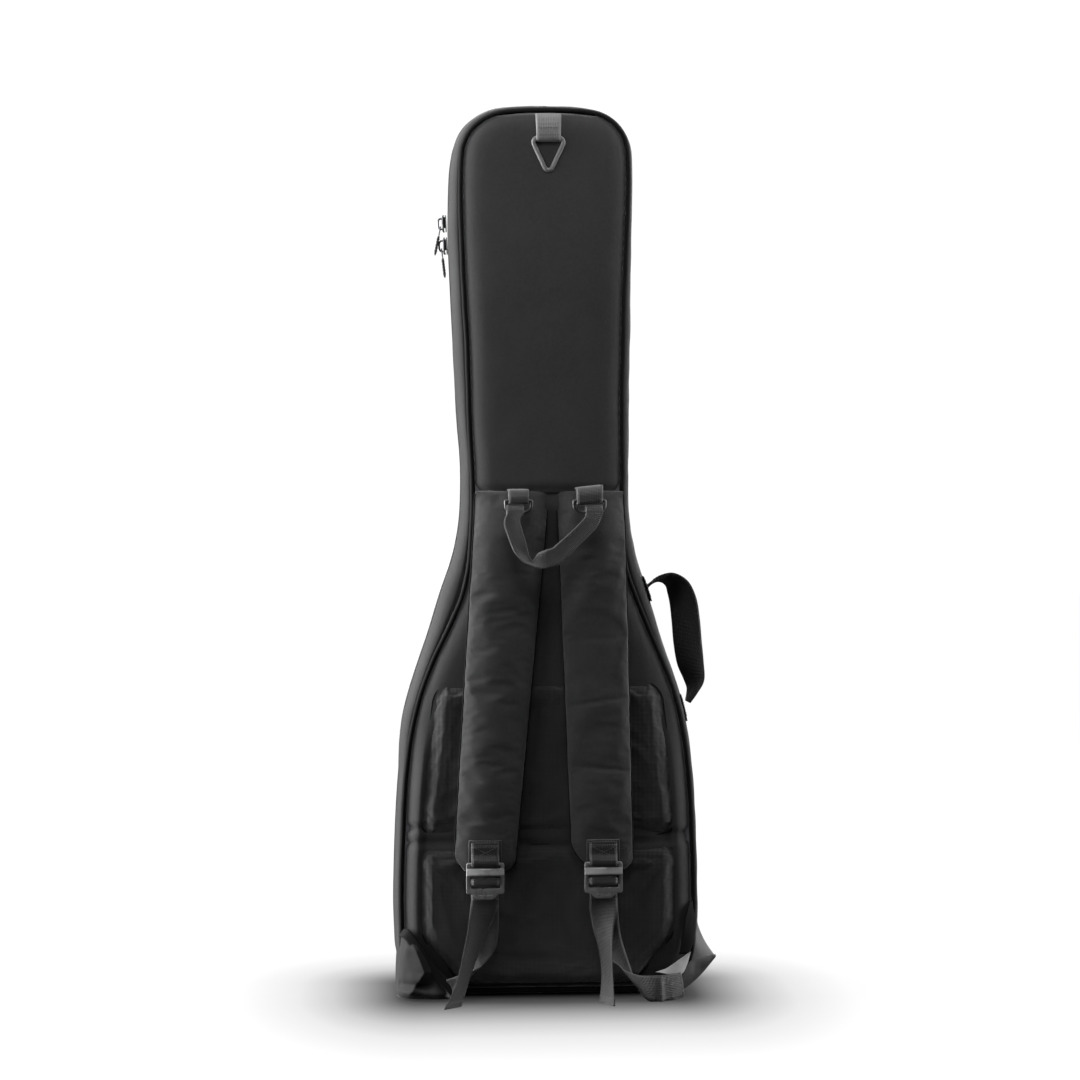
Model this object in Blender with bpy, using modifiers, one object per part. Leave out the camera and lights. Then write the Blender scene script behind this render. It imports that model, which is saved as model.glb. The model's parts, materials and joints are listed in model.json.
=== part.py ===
"""Padded gig bag for an electric guitar: metres, +Z up, standing on its base with the strap side towards -Y.

The origin is the middle of the base. The zipped lid faces +Y and turns about an upright fabric hinge on the +X side.
Layers, from outside in: cover fabric, closed-cell foam, lining. Run with: blender --background --python part.py
"""

import math

import bmesh
import bpy
from mathutils import Euler, Matrix, Vector, geometry

# ---- Driving dimensions -------------------------------------------------------------------------------------------
BAG_DEPTH = 0.090  # outer face of the back panel to outer face of the front panel
SPLIT_Y = 0.020  # plane of the main zip, nearer the front than the back
GAP = 0.0003  # between pieces that touch
FABRIC = 0.0015
LINING = 0.0010
FOAM = 0.0150
GUSSET_FOAM = 0.0130
PIPING_RADIUS = 0.0030
WALL_BULGE = 0.006  # how far the gusset stands out past the panels' edge
SHOULDER_BULGE = 0.008  # the extra at the shoulder, where the fabric can't follow the hollow curve
SHOULDER_Z = 0.465
SHOULDER_SPREAD = 0.060
SWELL = {  # (height, extra) of the gusset's bulge on the -X side, where the zip is, and on the +X side
    -1: ((0.000, 0.0), (0.262, 0.0), (0.290, 0.0025), (0.320, 0.0042), (0.400, 0.0042), (0.465, 0.0082),
         (0.535, 0.0054), (0.570, 0.0044), (0.600, 0.0036), (0.640, 0.0034), (0.700, 0.0054), (0.750, 0.0066),
         (0.8233, 0.0060), (0.8792, 0.0060), (0.900, 0.0058), (0.940, 0.0043), (0.965, 0.0033), (0.990, 0.0018),
         (1.010, 0.0015), (1.0226, 0.0010), (1.0284, 0.0006), (1.0320, 0.0)),
    1: ((0.440, 0.0), (0.500, 0.0040), (0.530, 0.0055), (0.550, 0.0045), (0.580, 0.0015), (0.620, 0.0010),
        (0.700, 0.0028), (0.820, 0.0024), (0.900, 0.0005), (0.970, 0.0)),
}
WIDEN = {  # (height, extra) of the panels' half width on each side: the neck leans a little towards -X
    -1: ((0.400, 0.0), (0.465, -0.0040), (0.530, 0.0), (0.620, 0.0), (0.674, 0.0026), (0.720, 0.0026), (0.7675, 0.0036),
         (0.813, 0.0056), (0.8792, 0.0076), (0.930, 0.0080), (0.965, 0.0075), (0.990, 0.0064), (1.012, 0.0042),
         (1.025, 0.0018), (1.032, 0.0)),
    1: ((0.440, 0.0), (0.500, -0.0030), (0.540, -0.0030), (0.580, -0.0010), (0.620, -0.0010), (0.700, -0.0028),
        (0.820, -0.0024), (0.900, -0.0005), (0.970, 0.0)),
}
WEBBING = 0.0014  # thickness
WEBBING_WIDTH = 0.032
HALF_DEPTH = BAG_DEPTH / 2

# The panels' edge on the +X side, from the middle of the base to the middle of the top:
# x, z, heading in degrees from +X towards +Z, steps in the arc that ends at this point.
NECK_HEADING = 89.06
HALF_OUTLINE = (
    (0.0000, 0.0080, 0, 0),
    (0.1200, 0.0080, 0, 1),
    (0.1700, 0.0600, 88, 5),
    (0.1715, 0.1150, 91, 1),
    (0.1650, 0.2620, 95, 2),
    (0.1560, 0.3250, 102, 2),
    (0.1275, 0.4080, 114, 3),
    (0.0975, 0.4880, 106, 3),
    (0.0880, 0.6000, NECK_HEADING, 3),
    (0.0935, 0.9350, NECK_HEADING, 6),
    (0.0928, 0.9850, 95, 2),
    (0.0520, 1.0290, 171, 5),
    (0.0000, 1.0320, 180, 2),
)
HINGE_Z = (0.060, 0.262)  # the stretch of the +X side with no zip, where the lid's fabric hinge is

# Back: seam where the shoulder straps are sewn in, and the pads below it
SEAM_Z = 0.590
PAD = 0.0060
STRAP_BEND_Z = 0.492  # the straps are held flat above this and swing below it
STRAP_END_Z = 0.1535
STRAP_BACK_Y = -0.0520
STRAP_FRONT_Y = -0.0650
STRAPS = {  # side: (centre x at the seam, centre x at the buckle, width at the seam)
    "left": (-0.0420, -0.0745, 0.086),
    "right": (0.0485, 0.0627, 0.079),
}
STRAP_END_WIDTH = 0.072
BUCKLE_BAR_Z = 0.1600
BUCKLE_Y = -0.0700
BUCKLE = (0.044, 0.036, 0.005)  # width, height above the tongue, thickness
TONGUE = (0.028, 0.0065)  # width, height
HANG_BAR = (-0.0512, 0.9990)  # y, z of the hanging ring's bar
HAUL_BAR = (-0.0725, 0.5800)  # y, z of the haul rings' bars
HAUL_X = {"left": -0.036, "right": 0.046}
HAUL_RING_RADIUS = 0.014
HAUL_WIRE = 0.0020
HANDLE_Y = -0.0160

# Front: accessory pocket on the body, flat pocket on the neck
POCKET_Z = (0.045, 0.330)
POCKET_HALF = (0.128, 0.118)  # half width at the bottom and at the top
POCKET_CORNER = 0.035
POCKET_WALL_Y = 0.0660
POCKET_COVER = 0.0070
NECK_POCKET_Z = (0.660, 0.930)
NECK_POCKET_HALF = 0.062
NECK_POCKET_Y = 0.0485
NECK_ZIP_X = -0.040

COLOURS = {  # base colour, roughness, metallic
    "cover_fabric": ((0.055, 0.055, 0.058), 0.85, 0.0),
    "gusset_fabric": ((0.085, 0.085, 0.088), 0.80, 0.0),
    "mesh_fabric": ((0.040, 0.040, 0.042), 0.95, 0.0),
    "piping": ((0.012, 0.012, 0.012), 0.55, 0.0),
    "webbing": ((0.045, 0.045, 0.047), 0.75, 0.0),
    "foam": ((0.10, 0.10, 0.11), 0.95, 0.0),
    "lining": ((0.16, 0.16, 0.17), 0.90, 0.0),
    "zipper": ((0.020, 0.020, 0.020), 0.60, 0.0),
    "zip_metal": ((0.10, 0.10, 0.105), 0.35, 1.0),
    "buckle_plastic": ((0.060, 0.060, 0.062), 0.35, 0.0),
    "ring_plastic": ((0.14, 0.14, 0.145), 0.40, 0.0),
    "ring_metal": ((0.14, 0.14, 0.145), 0.40, 1.0),
    "base_rubber": ((0.020, 0.020, 0.020), 0.80, 0.0),
}


# ---- Scene, materials and basic shapes ----------------------------------------------------------------------------
def clear_scene():
    for old in list(bpy.data.objects):
        bpy.data.objects.remove(old)


def collection(name):
    made = bpy.data.collections.new(name)
    bpy.context.scene.collection.children.link(made)
    return made


def material(slot):
    found = bpy.data.materials.get(slot)
    if found:
        return found
    colour, roughness, metallic = COLOURS[slot]
    made = bpy.data.materials.new(slot)
    made.use_nodes = True
    shader = made.node_tree.nodes["Principled BSDF"]
    shader.inputs["Base Color"].default_value = (*colour, 1.0)
    shader.inputs["Roughness"].default_value = roughness
    shader.inputs["Metallic"].default_value = metallic
    return made


def place(name, data, slot, parent=None):
    """Links a new object for this data, with its material, in the bag's collection."""
    made = bpy.data.objects.new(name, data)
    BAG.objects.link(made)
    data.materials.append(material(slot))
    made.parent = parent
    return made


def joint_empty(name, origin, turn=None):
    """An empty on a joint's axis, which the moving pieces are parented to."""
    made = bpy.data.objects.new(name, None)
    BAG.objects.link(made)
    made.location = origin
    if turn is not None:
        made.rotation_euler = turn
    bpy.context.view_layer.update()
    return made


def hold(piece, empty):
    """Parents a piece built in the bag's frame to an empty, without moving it."""
    bpy.context.view_layer.update()
    world = piece.matrix_world.copy()
    piece.parent = empty
    piece.matrix_world = world
    return piece


def slab(name, outlines, low, high, slot, upright=True):
    """A flat plate between two parallel planes. Outlines after the first are holes. An upright plate lies in XZ and
    is thick along Y, and the other kind lies in XY and is thick along Z."""
    curve = bpy.data.curves.new(name, "CURVE")
    curve.dimensions = "2D"
    curve.fill_mode = "BOTH"
    curve.extrude = (high - low) / 2
    for outline in outlines:
        spline = curve.splines.new("POLY")
        spline.points.add(len(outline) - 1)
        for point, (u, v) in zip(spline.points, outline):
            point.co = (u, v, 0, 1)
        spline.use_cyclic_u = True
    made = place(name, curve, slot)
    middle = (low + high) / 2
    if upright:
        made.rotation_euler = (math.pi / 2, 0, 0)
        made.location = (0, middle, 0)
    else:
        made.location = (0, 0, middle)
    return made


def tube(name, points, radius, slot, closed=False, sides=2):
    """A round wire along points."""
    curve = bpy.data.curves.new(name, "CURVE")
    curve.dimensions = "3D"
    curve.bevel_depth = radius
    curve.bevel_resolution = sides
    curve.use_fill_caps = True
    spline = curve.splines.new("POLY")
    spline.points.add(len(points) - 1)
    for point, place_at in zip(spline.points, points):
        point.co = (*place_at, 1)
    spline.use_cyclic_u = closed
    return place(name, curve, slot)


def strip(name, rows, thickness, slot, soften=0.0):
    """A strap: an open surface through rows of (middle, half of the width as a vector), made solid about it."""
    mesh = bpy.data.meshes.new(name)
    shape = bmesh.new()
    pairs = [
        (shape.verts.new(Vector(c) - Vector(a)), shape.verts.new(Vector(c) + Vector(a)))
        for c, a in rows
    ]
    for (a, b), (c, d) in zip(pairs, pairs[1:]):
        shape.faces.new((a, b, d, c))
    shape.to_mesh(mesh)
    shape.free()
    made = place(name, mesh, slot)
    solid = made.modifiers.new("Thickness", "SOLIDIFY")
    solid.thickness = thickness
    solid.offset = 0
    solid.use_even_offset = True
    if soften:
        rounded(made, soften)
    return made


def rounded(piece, width, segments=2):
    bevel = piece.modifiers.new("Rounded", "BEVEL")
    bevel.width = width
    bevel.segments = segments
    bevel.limit_method = "ANGLE"
    bevel.angle_limit = math.radians(40)
    return piece


def block(name, low, high, slot, soften=0.0):
    """A box between two corners."""
    shape = bmesh.new()
    bmesh.ops.create_cube(shape, size=1.0)
    size = Vector(high) - Vector(low)
    bmesh.ops.scale(shape, vec=size, verts=shape.verts)
    mesh = bpy.data.meshes.new(name)
    shape.to_mesh(mesh)
    shape.free()
    made = place(name, mesh, slot)
    made.location = (Vector(low) + Vector(high)) / 2
    if soften:
        rounded(made, soften)
    return made


def as_mesh(curve_object):
    """The same shape as a mesh object with its caps welded, in place of the curve."""
    bpy.context.view_layer.update()
    graph = bpy.context.evaluated_depsgraph_get()
    mesh = bpy.data.meshes.new_from_object(curve_object.evaluated_get(graph))
    shape = bmesh.new()
    shape.from_mesh(mesh)
    bmesh.ops.remove_doubles(shape, verts=shape.verts, dist=1e-6)
    shape.to_mesh(mesh)
    shape.free()
    name, matrix = curve_object.name, curve_object.matrix_world.copy()
    home = curve_object.users_collection[0]
    bpy.data.objects.remove(curve_object)
    made = bpy.data.objects.new(name, mesh)
    home.objects.link(made)
    made.matrix_world = matrix
    return made


def join_with(piece, tool):
    """Joins a tool's shape to a piece with a Boolean. The tool stays as a hidden helper."""
    for home in list(tool.users_collection):
        home.objects.unlink(tool)
    CUTTERS.objects.link(tool)
    tool.hide_render = True
    tool.display_type = "WIRE"
    union = piece.modifiers.new("Join", "BOOLEAN")
    union.operation = "UNION"
    union.solver = "EXACT"
    union.object = tool
    return piece


# ---- Outlines -----------------------------------------------------------------------------------------------------
def arc(start, end, steps):
    """Points and outward normals of one stretch of the outline, without its first point: near a circular arc."""
    (x0, z0, heading0, _), (x1, z1, heading1, _) = start, end
    turn = math.radians(heading1 - heading0)
    chord = math.hypot(x1 - x0, z1 - z0)
    reach = chord / 3 if abs(turn) < 1e-3 else chord * (2 / 3) * math.tan(turn / 4) / math.sin(turn / 2)
    a, b = Vector((x0, z0)), Vector((x1, z1))
    out = Vector((math.cos(math.radians(heading0)), math.sin(math.radians(heading0))))
    into = Vector((math.cos(math.radians(heading1)), math.sin(math.radians(heading1))))
    places = geometry.interpolate_bezier(a, a + out * reach, b - into * reach, b, steps + 1)
    found = []
    for i in range(1, steps + 1):
        heading = math.radians(heading0) + turn * i / steps
        found.append((places[i], Vector((math.sin(heading), -math.cos(heading)))))
    return found


def edge_samples():
    """(point, outward normal) round the whole edge, from the middle of the base up the +X side and down the -X side."""
    right = [(Vector(HALF_OUTLINE[0][:2]), Vector((0, -1)))]
    for start, end in zip(HALF_OUTLINE, HALF_OUTLINE[1:]):
        right += arc(start, end, end[3])
    left = [(Vector((-p.x - from_table(WIDEN[-1], p.y), p.y)), Vector((-n.x, n.y))) for p, n in reversed(right[1:-1])]
    right = [(Vector((p.x + (from_table(WIDEN[1], p.y) if p.x > 0.05 else 0), p.y)), n) for p, n in right]
    return right + left


def ramp(value, low, high):
    t = min(max((value - low) / (high - low), 0.0), 1.0)
    return t * t * (3 - 2 * t)


def bulge(x, z):
    """How far the gusset's outer face is outside the panels' edge."""
    extra = from_table(SWELL[-1 if x < 0 else 1], z)
    return WALL_BULGE + SHOULDER_BULGE * math.exp(-(((z - SHOULDER_Z) / SHOULDER_SPREAD) ** 2)) + extra


def from_table(rows, z):
    """A value between (height, value) rows, eased from one row to the next."""
    for (z0, e0), (z1, e1) in zip(rows, rows[1:]):
        if z0 <= z <= z1:
            return e0 + (e1 - e0) * ramp(z, z0, z1)
    return 0.0


def panel_edge(inset=0.0):
    """The panels' edge, moved inwards."""
    return [p - n * inset for p, n in EDGE]


def wall_edge(outset=0.0):
    """The gusset's outer face, moved outwards."""
    return [p + n * (bulge(*p) + outset) for p, n in EDGE]


def between(points, start, end, shift=0.0):
    """The stretch of a closed outline from one sample to another, its two ends moved along X by shift to leave a gap."""
    count = len(points)
    span = (end - start) % count or count
    found = [points[(start + i) % count].copy() for i in range(span + 1)]
    found[0].x += shift
    found[-1].x += shift
    return found


def wall_band(name, outer, inner, low, high, slot, start, end, shift=0.0):
    """A strip of the side wall between two offsets from the gusset's outer face and two planes across Y."""
    outside = between(wall_edge(outer), start, end, shift)
    inside = between(wall_edge(inner), start, end, shift)
    return slab(name, [outside + inside[::-1]], low, high, slot)


def sample_at(z, side=1):
    """The sample whose height is nearest z on the +X side (1) or the -X side (-1)."""
    rows = [i for i, (p, _) in enumerate(EDGE) if p.x * side > 0.05]
    return min(rows, key=lambda i: abs(EDGE[i][0].y - z))


def rounded_outline(corners, steps=4):
    """A closed outline with round corners, from (u, v, radius) corners listed anticlockwise."""
    found = []
    count = len(corners)
    for i, (u, v, radius) in enumerate(corners):
        here = Vector((u, v))
        before = (Vector(corners[i - 1][:2]) - here).normalized()
        after = (Vector(corners[(i + 1) % count][:2]) - here).normalized()
        half = before.angle(after) / 2
        reach = radius / math.tan(half)
        centre = here + (before + after).normalized() * (radius / math.sin(half))
        first, last = here + before * reach - centre, here + after * reach - centre
        sweep = first.angle(last)
        for k in range(steps + 1):
            t = sweep * k / steps
            # both ends lie on the corner's circle, so a blend of the two by sines stays on it
            share = (math.sin(sweep - t) * first + math.sin(t) * last) / math.sin(sweep)
            found.append(centre + share)
    return found


def arc_points(centre, radius, start, end, steps):
    """Points on a circle in the YZ plane, as (y, z). Angles are in degrees from +Y towards +Z."""
    return [
        (
            centre[0] + radius * math.cos(math.radians(start + (end - start) * i / steps)),
            centre[1] + radius * math.sin(math.radians(start + (end - start) * i / steps)),
        )
        for i in range(steps + 1)
    ]


# ---- The bag's back shell -----------------------------------------------------------------------------------------
def clip_below(points, z):
    """The part of a closed outline below a height, cut straight across."""
    return clip(points, lambda p: z - p.y)


def clip_above(points, z):
    return clip(points, lambda p: p.y - z)


def clip(points, inside):
    found = []
    for a, b in zip(points, points[1:] + points[:1]):
        if inside(a) >= 0:
            found.append(a)
        if inside(a) * inside(b) < 0:
            found.append(a.lerp(b, inside(a) / (inside(a) - inside(b))))
    return found


def back_layers():
    face = -HALF_DEPTH
    cover = panel_edge(PIPING_RADIUS + 0.0005)
    slab("back_panel_upper", [clip_above(cover, SEAM_Z + GAP)], face, face + FABRIC, "cover_fabric")
    slab("back_panel_lower", [clip_below(cover, SEAM_Z - GAP)], face, face + FABRIC, "cover_fabric")
    foam = face + FABRIC + GAP
    slab("back_foam", [cover], foam, foam + FOAM, "foam")
    lining = foam + FOAM + GAP
    inner = wall_edge(-FABRIC - GUSSET_FOAM - LINING - 4 * GAP)
    slab("back_lining", [inner], lining, lining + LINING, "lining")


def back_pads():
    face = -HALF_DEPTH - GAP
    upper = [(-0.153, 0.190, 0.022), (0.153, 0.190, 0.022), (0.132, 0.370, 0.028), (-0.132, 0.370, 0.028)]
    lower = [(-0.100, 0.016, 0.030), (0.100, 0.016, 0.030), (0.150, 0.075, 0.050), (0.153, 0.180, 0.024),
             (-0.153, 0.180, 0.024), (-0.150, 0.075, 0.050)]
    slab("back_pad_upper", [rounded_outline(upper)], face - PAD, face, "mesh_fabric")
    slab("back_pad_lower", [rounded_outline(lower)], face - PAD, face, "mesh_fabric")


def piping(name, y):
    tube(name, [(p.x, y, p.y) for p in panel_edge()], PIPING_RADIUS, "piping", closed=True, sides=1)


def bag_gusset():
    """The deep half of the side wall. Its fabric is in two lengths that meet at the base and the top."""
    low = -HALF_DEPTH + 2 * PIPING_RADIUS
    foam_low = -HALF_DEPTH + FABRIC + FOAM + 2 * GAP
    top = len(EDGE) // 2
    for side, start, end, shift in (("right", 0, top, GAP), ("left", top, 0, -GAP)):
        wall_band(f"gusset_{side}", 0, -FABRIC, low, SPLIT_Y - GAP, "gusset_fabric", start, end, shift)
    foam = -FABRIC - GAP
    slab("gusset_foam", [wall_edge(foam), wall_edge(foam - GUSSET_FOAM)], foam_low, SPLIT_Y - 0.001, "foam")
    lining = -FABRIC - GUSSET_FOAM - 2 * GAP
    slab("gusset_lining", [wall_edge(lining), wall_edge(lining - LINING)], foam_low, SPLIT_Y - 0.001, "lining")


def zip_track(name, low, high):
    """One side's tape and coil, from the top of the fabric hinge round the top and the base to its bottom."""
    start, end = sample_at(HINGE_Z[1]), sample_at(HINGE_Z[0])
    wall_band(name, GAP + FABRIC, GAP, low, high, "zipper", start, end)


def base_panels():
    """Rubber wear strips under the base, one on the bag and one on the lid: what the bag stands on."""
    bottom, top, half = 0.0, 0.0017, 0.110
    block("base_panel", (-half, -0.0385, bottom), (half, SPLIT_Y - 0.0125, top), "base_rubber")
    block("front_base_panel", (-half, SPLIT_Y + 0.0125, bottom), (half, 0.0385, top), "base_rubber")


def inside_fittings():
    """Foam end block under the guitar's strap button, and notched cradle under its neck."""
    back = -HALF_DEPTH + FABRIC + FOAM + LINING + 3 * GAP
    block("end_bumper", (-0.060, back, 0.0190), (0.060, 0.0185, 0.0440), "foam", soften=0.004)
    arm, notch, front, bed = 0.074, 0.030, 0.006, -0.012
    notched = [(-arm, back), (arm, back), (arm, front), (notch, front), (notch, bed), (-notch, bed), (-notch, front),
               (-arm, front)]
    slab("neck_cradle", [[Vector(p) for p in notched]], 0.615, 0.685, "foam", upright=False)


# ---- The lid and its pockets --------------------------------------------------------------------------------------
def lid_layers():
    face = HALF_DEPTH
    cover = panel_edge(PIPING_RADIUS + 0.0005)
    hinge = joint_empty("lid_hinge", (LID_AXIS_X, SPLIT_Y, 0.160))
    foam = face - FABRIC - GAP
    lining = foam - FOAM - GAP
    inner = wall_edge(-FABRIC - GUSSET_FOAM - LINING - 4 * GAP)
    hold(slab("front_panel", [cover], face - FABRIC, face, "cover_fabric"), hinge)
    hold(slab("front_foam", [cover], foam - FOAM, foam, "foam"), hinge)
    hold(slab("front_lining", [inner], lining - LINING, lining, "lining"), hinge)
    ring = [wall_edge(0), wall_edge(-0.006)]
    hold(slab("front_gusset", ring, SPLIT_Y + GAP, face - 2 * PIPING_RADIUS, "gusset_fabric"), hinge)
    for name in ("front_piping", "front_base_panel", "zipper_track_lid"):
        hold(bpy.data.objects[name], hinge)
    return hinge


def pocket_outline(offset=0.0):
    """The accessory pocket's edge, a little wider at the bottom, moved outwards by an offset."""
    low, high = POCKET_Z
    wide, narrow = POCKET_HALF
    wide, narrow, low, high = wide + offset, narrow + offset, low - offset, high + offset
    radius = POCKET_CORNER + offset
    return rounded_outline([(-wide, low, radius), (wide, low, radius), (narrow, high, radius), (-narrow, high, radius)])


def accessory_pocket(hinge):
    wall_low = HALF_DEPTH + GAP
    hold(slab("pocket_wall", [pocket_outline(), pocket_outline(-0.003)], wall_low, POCKET_WALL_Y, "gusset_fabric"), hinge)
    outside, inside = pocket_outline(GAP + 0.0012), pocket_outline(GAP)
    # the tape runs up one side, over the top and down the other: from one bottom corner's last point to the other's first
    steps = len(outside) // 4
    outside = outside[steps * 2 - 1:] + outside[:1]
    inside = inside[steps * 2 - 1:] + inside[:1]
    tape = slab("pocket_zipper_track", [outside + inside[::-1]], POCKET_WALL_Y - 0.0055, POCKET_WALL_Y, "zipper")
    hold(tape, hinge)
    cover_hinge = joint_empty("pocket_cover_hinge", (0, POCKET_WALL_Y + GAP, POCKET_Z[0]))
    cover_low = POCKET_WALL_Y + GAP
    cover = as_mesh(slab("pocket_cover", [pocket_outline()], cover_low, cover_low + POCKET_COVER, "cover_fabric"))
    rounded(cover, 0.002, segments=1)
    hold(cover_hinge, hinge)
    hold(cover, cover_hinge)


def neck_pocket(hinge):
    low, high = NECK_POCKET_Z
    half = NECK_POCKET_HALF
    outline = rounded_outline([(-half, low, 0.025), (half, low, 0.025), (half, high, 0.025), (-half, high, 0.025)])
    hold(slab("neck_pocket", [outline], HALF_DEPTH + GAP, NECK_POCKET_Y, "cover_fabric"), hinge)


# ---- Zip sliders and pulls ----------------------------------------------------------------------------------------
SLIDER_HALF_WIDTH = 0.0065
SLIDER_HALF_LENGTH = 0.0100
SLIDER_HEIGHT = 0.0055
BRIDGE_RADIUS = 0.0011
PULL_AXIS = (-0.0035, 0.0070)  # along the zip and out from it, from the slider's middle
PULL_HALF_WIDTH = 0.0045
PULL_LENGTH = 0.0340


def zip_slider(name, middle, out, along, nose=1):
    """A slider whose underside is centred on middle. out points away from the fabric, and along points up the zip.
    Its wide end is towards along when nose is 1, and the other way when it is -1."""
    out, along = Vector(out).normalized(), Vector(along).normalized()
    turn = Matrix((along.cross(out), along, out)).transposed()
    empty = joint_empty(f"{name}_travel", middle, turn.to_euler())
    top, bottom = (SLIDER_HALF_WIDTH, 0.0042)[::nose]
    shield = [(-bottom, -SLIDER_HALF_LENGTH, 0.0015), (bottom, -SLIDER_HALF_LENGTH, 0.0015),
              (top, SLIDER_HALF_LENGTH, 0.0015), (-top, SLIDER_HALF_LENGTH, 0.0015)]
    body = slab(name, [rounded_outline(shield, steps=2)], 0, SLIDER_HEIGHT, "zip_metal", upright=False)
    body = as_mesh(body)
    foot, crown, legs = 0.003, 0.0095, 0.006
    arch = [(0, legs, foot), (0, legs, crown - 0.0015), (0, legs - 0.0015, crown), (0, -legs + 0.0015, crown),
            (0, -legs, crown - 0.0015), (0, -legs, foot)]
    bridge = as_mesh(tube(f"{name}_bridge", arch, BRIDGE_RADIUS, "zip_metal", sides=1))
    join_with(body, bridge)
    for piece in (body, bridge):
        piece.parent = empty
    return empty


def zip_pull(name, slider, lean=0.0):
    """A flat pull hung on a slider's bridge. Lean turns its free end away from the fabric, in degrees."""
    pivot = joint_empty(f"{name}_pivot", (0, *PULL_AXIS), (math.radians(-lean), 0, 0))
    half = PULL_HALF_WIDTH
    plate = [(-half + 0.001, -PULL_LENGTH, 0.002), (half - 0.001, -PULL_LENGTH, 0.002), (half, 0.0009, 0.001),
             (-half, 0.0009, 0.001)]
    eye = [(-0.0025, -0.0085), (-0.0025, -0.0009), (0.0025, -0.0009), (0.0025, -0.0085)]
    pull = slab(name, [rounded_outline(plate, steps=2), [Vector(p) for p in eye]], -0.0009, 0.0009, "zip_metal",
                upright=False)
    pivot.parent = slider
    pull.parent = pivot


def all_zip_sliders(hinge):
    """Two sliders nose to nose on the main zip's straight run up the neck, and one on each pocket."""
    wall = wall_edge(GAP + FABRIC + GAP)
    low, high = wall[sample_at(0.770, -1)], wall[sample_at(0.880, -1)]
    along = Vector((high.x - low.x, 0, high.y - low.y)).normalized()
    out = Vector((-along.z, 0, along.x))
    for label, z, nose, lean in (("upper", 0.905, -1, 14.0), ("lower", 0.879, 1, -4.0)):
        x = low.x + (high.x - low.x) * (z - low.y) / (high.y - low.y)
        slider = zip_slider(f"main_slider_{label}", (x, SPLIT_Y, z), out, along, nose)
        zip_pull(f"main_pull_{label}", slider, lean)
    slider = zip_slider("pocket_slider", (0.065, POCKET_WALL_Y - 0.001, POCKET_Z[1] + 0.0018), (0, 0, 1), (1, 0, 0))
    zip_pull("pocket_pull", slider)
    hold(slider, hinge)
    slider = zip_slider("neck_pocket_slider", (NECK_ZIP_X, NECK_POCKET_Y + GAP, 0.890), (0, 1, 0), (0, 0, 1))
    zip_pull("neck_pocket_pull", slider)
    hold(slider, hinge)


# ---- Rings, loops and handles -------------------------------------------------------------------------------------
def hanging_ring():
    """Triangular ring, point down, in a folded webbing tab sewn into the top seam."""
    y, z = HANG_BAR
    wire = 0.0025
    corners = [(-0.0205, z, 0.0045), (0.0, z - 0.044, 0.0045), (0.0205, z, 0.0045)]
    pivot = joint_empty("hang_ring_pivot", (0, y, z))
    outline = [(p.x, y, p.y) for p in rounded_outline(corners, steps=3)]
    hold(tube("hang_ring", outline, wire, "ring_plastic", closed=True, sides=1), pivot)
    fold = wire + 2 * GAP + WEBBING / 2
    path = [(y + fold, 1.0235)] + arc_points((y, z), fold, 0, -180, 8) + [(y - fold, 1.0120), (y + 0.0005, 1.0245)]
    strip("hang_tab", [((0, *p), (0.0145, 0, 0)) for p in path], WEBBING, "webbing")


def haul_loop():
    """The grab loop between the tops of the shoulder straps: webbing folded through two D-shaped rings."""
    y, z = HAUL_BAR
    rings = joint_empty("haul_rings_pivot", (0, y, z))
    fold = HAUL_WIRE + 2 * GAP + WEBBING / 2
    for side, x in HAUL_X.items():
        corners = [(x - HAUL_RING_RADIUS, z), (x + HAUL_RING_RADIUS, z)]
        bow = [
            (x + HAUL_RING_RADIUS * math.cos(math.radians(a)), z + HAUL_RING_RADIUS * math.sin(math.radians(a)))
            for a in range(-20, -161, -20)
        ]
        outline = [(u, y, v) for u, v in [corners[0], corners[1], *bow]]
        hold(tube(f"haul_ring_{side}", outline, HAUL_WIRE, "ring_metal", closed=True, sides=1), rings)
        path = [(-HALF_DEPTH - 0.0012, SEAM_Z + 0.0035), (y + 0.006, SEAM_Z + 0.0035), (y - 0.0020, SEAM_Z + 0.0005)]
        path += arc_points((y, z), fold, 180, 360, 8)
        strip(f"haul_tab_{side}", [((x, *p), (0.0105, 0, 0)) for p in path], WEBBING, "webbing")
    wire_z = z - HAUL_RING_RADIUS
    loop = joint_empty("haul_loop_pivot", (0, y, wire_z))
    bend = 0.0055
    left, right = HAUL_X["left"], HAUL_X["right"]
    rows = [((left, *p), (0.0075, 0, 0)) for p in arc_points((y, wire_z), bend, 0, 180, 6)]
    hanging = [(left + 0.003, -0.0035, 0.548, -62), (left + 0.013, -0.008, 0.529, -52), (-0.008, -0.010, 0.5165, -12),
               (0.013, -0.010, 0.5215, 35), (right - 0.015, -0.008, 0.541, 52), (right - 0.004, -0.0045, 0.556, 62)]
    for x, forward, height, heading in hanging:
        across = math.radians(heading + 90)
        rows.append(((x, y - bend + forward * 0.5, height), (0.0095 * math.cos(across), 0, 0.0095 * math.sin(across))))
    rows += [((right, *p), (-0.0075, 0, 0)) for p in arc_points((y, wire_z), bend, 180, 0, 6)]
    rows = [(c, a if a[0] > 0 else (-a[0], 0, -a[2])) for c, a in rows]
    hold(strip("haul_loop", rows, WEBBING, "webbing"), loop)
    hold(loop, rings)


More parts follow.
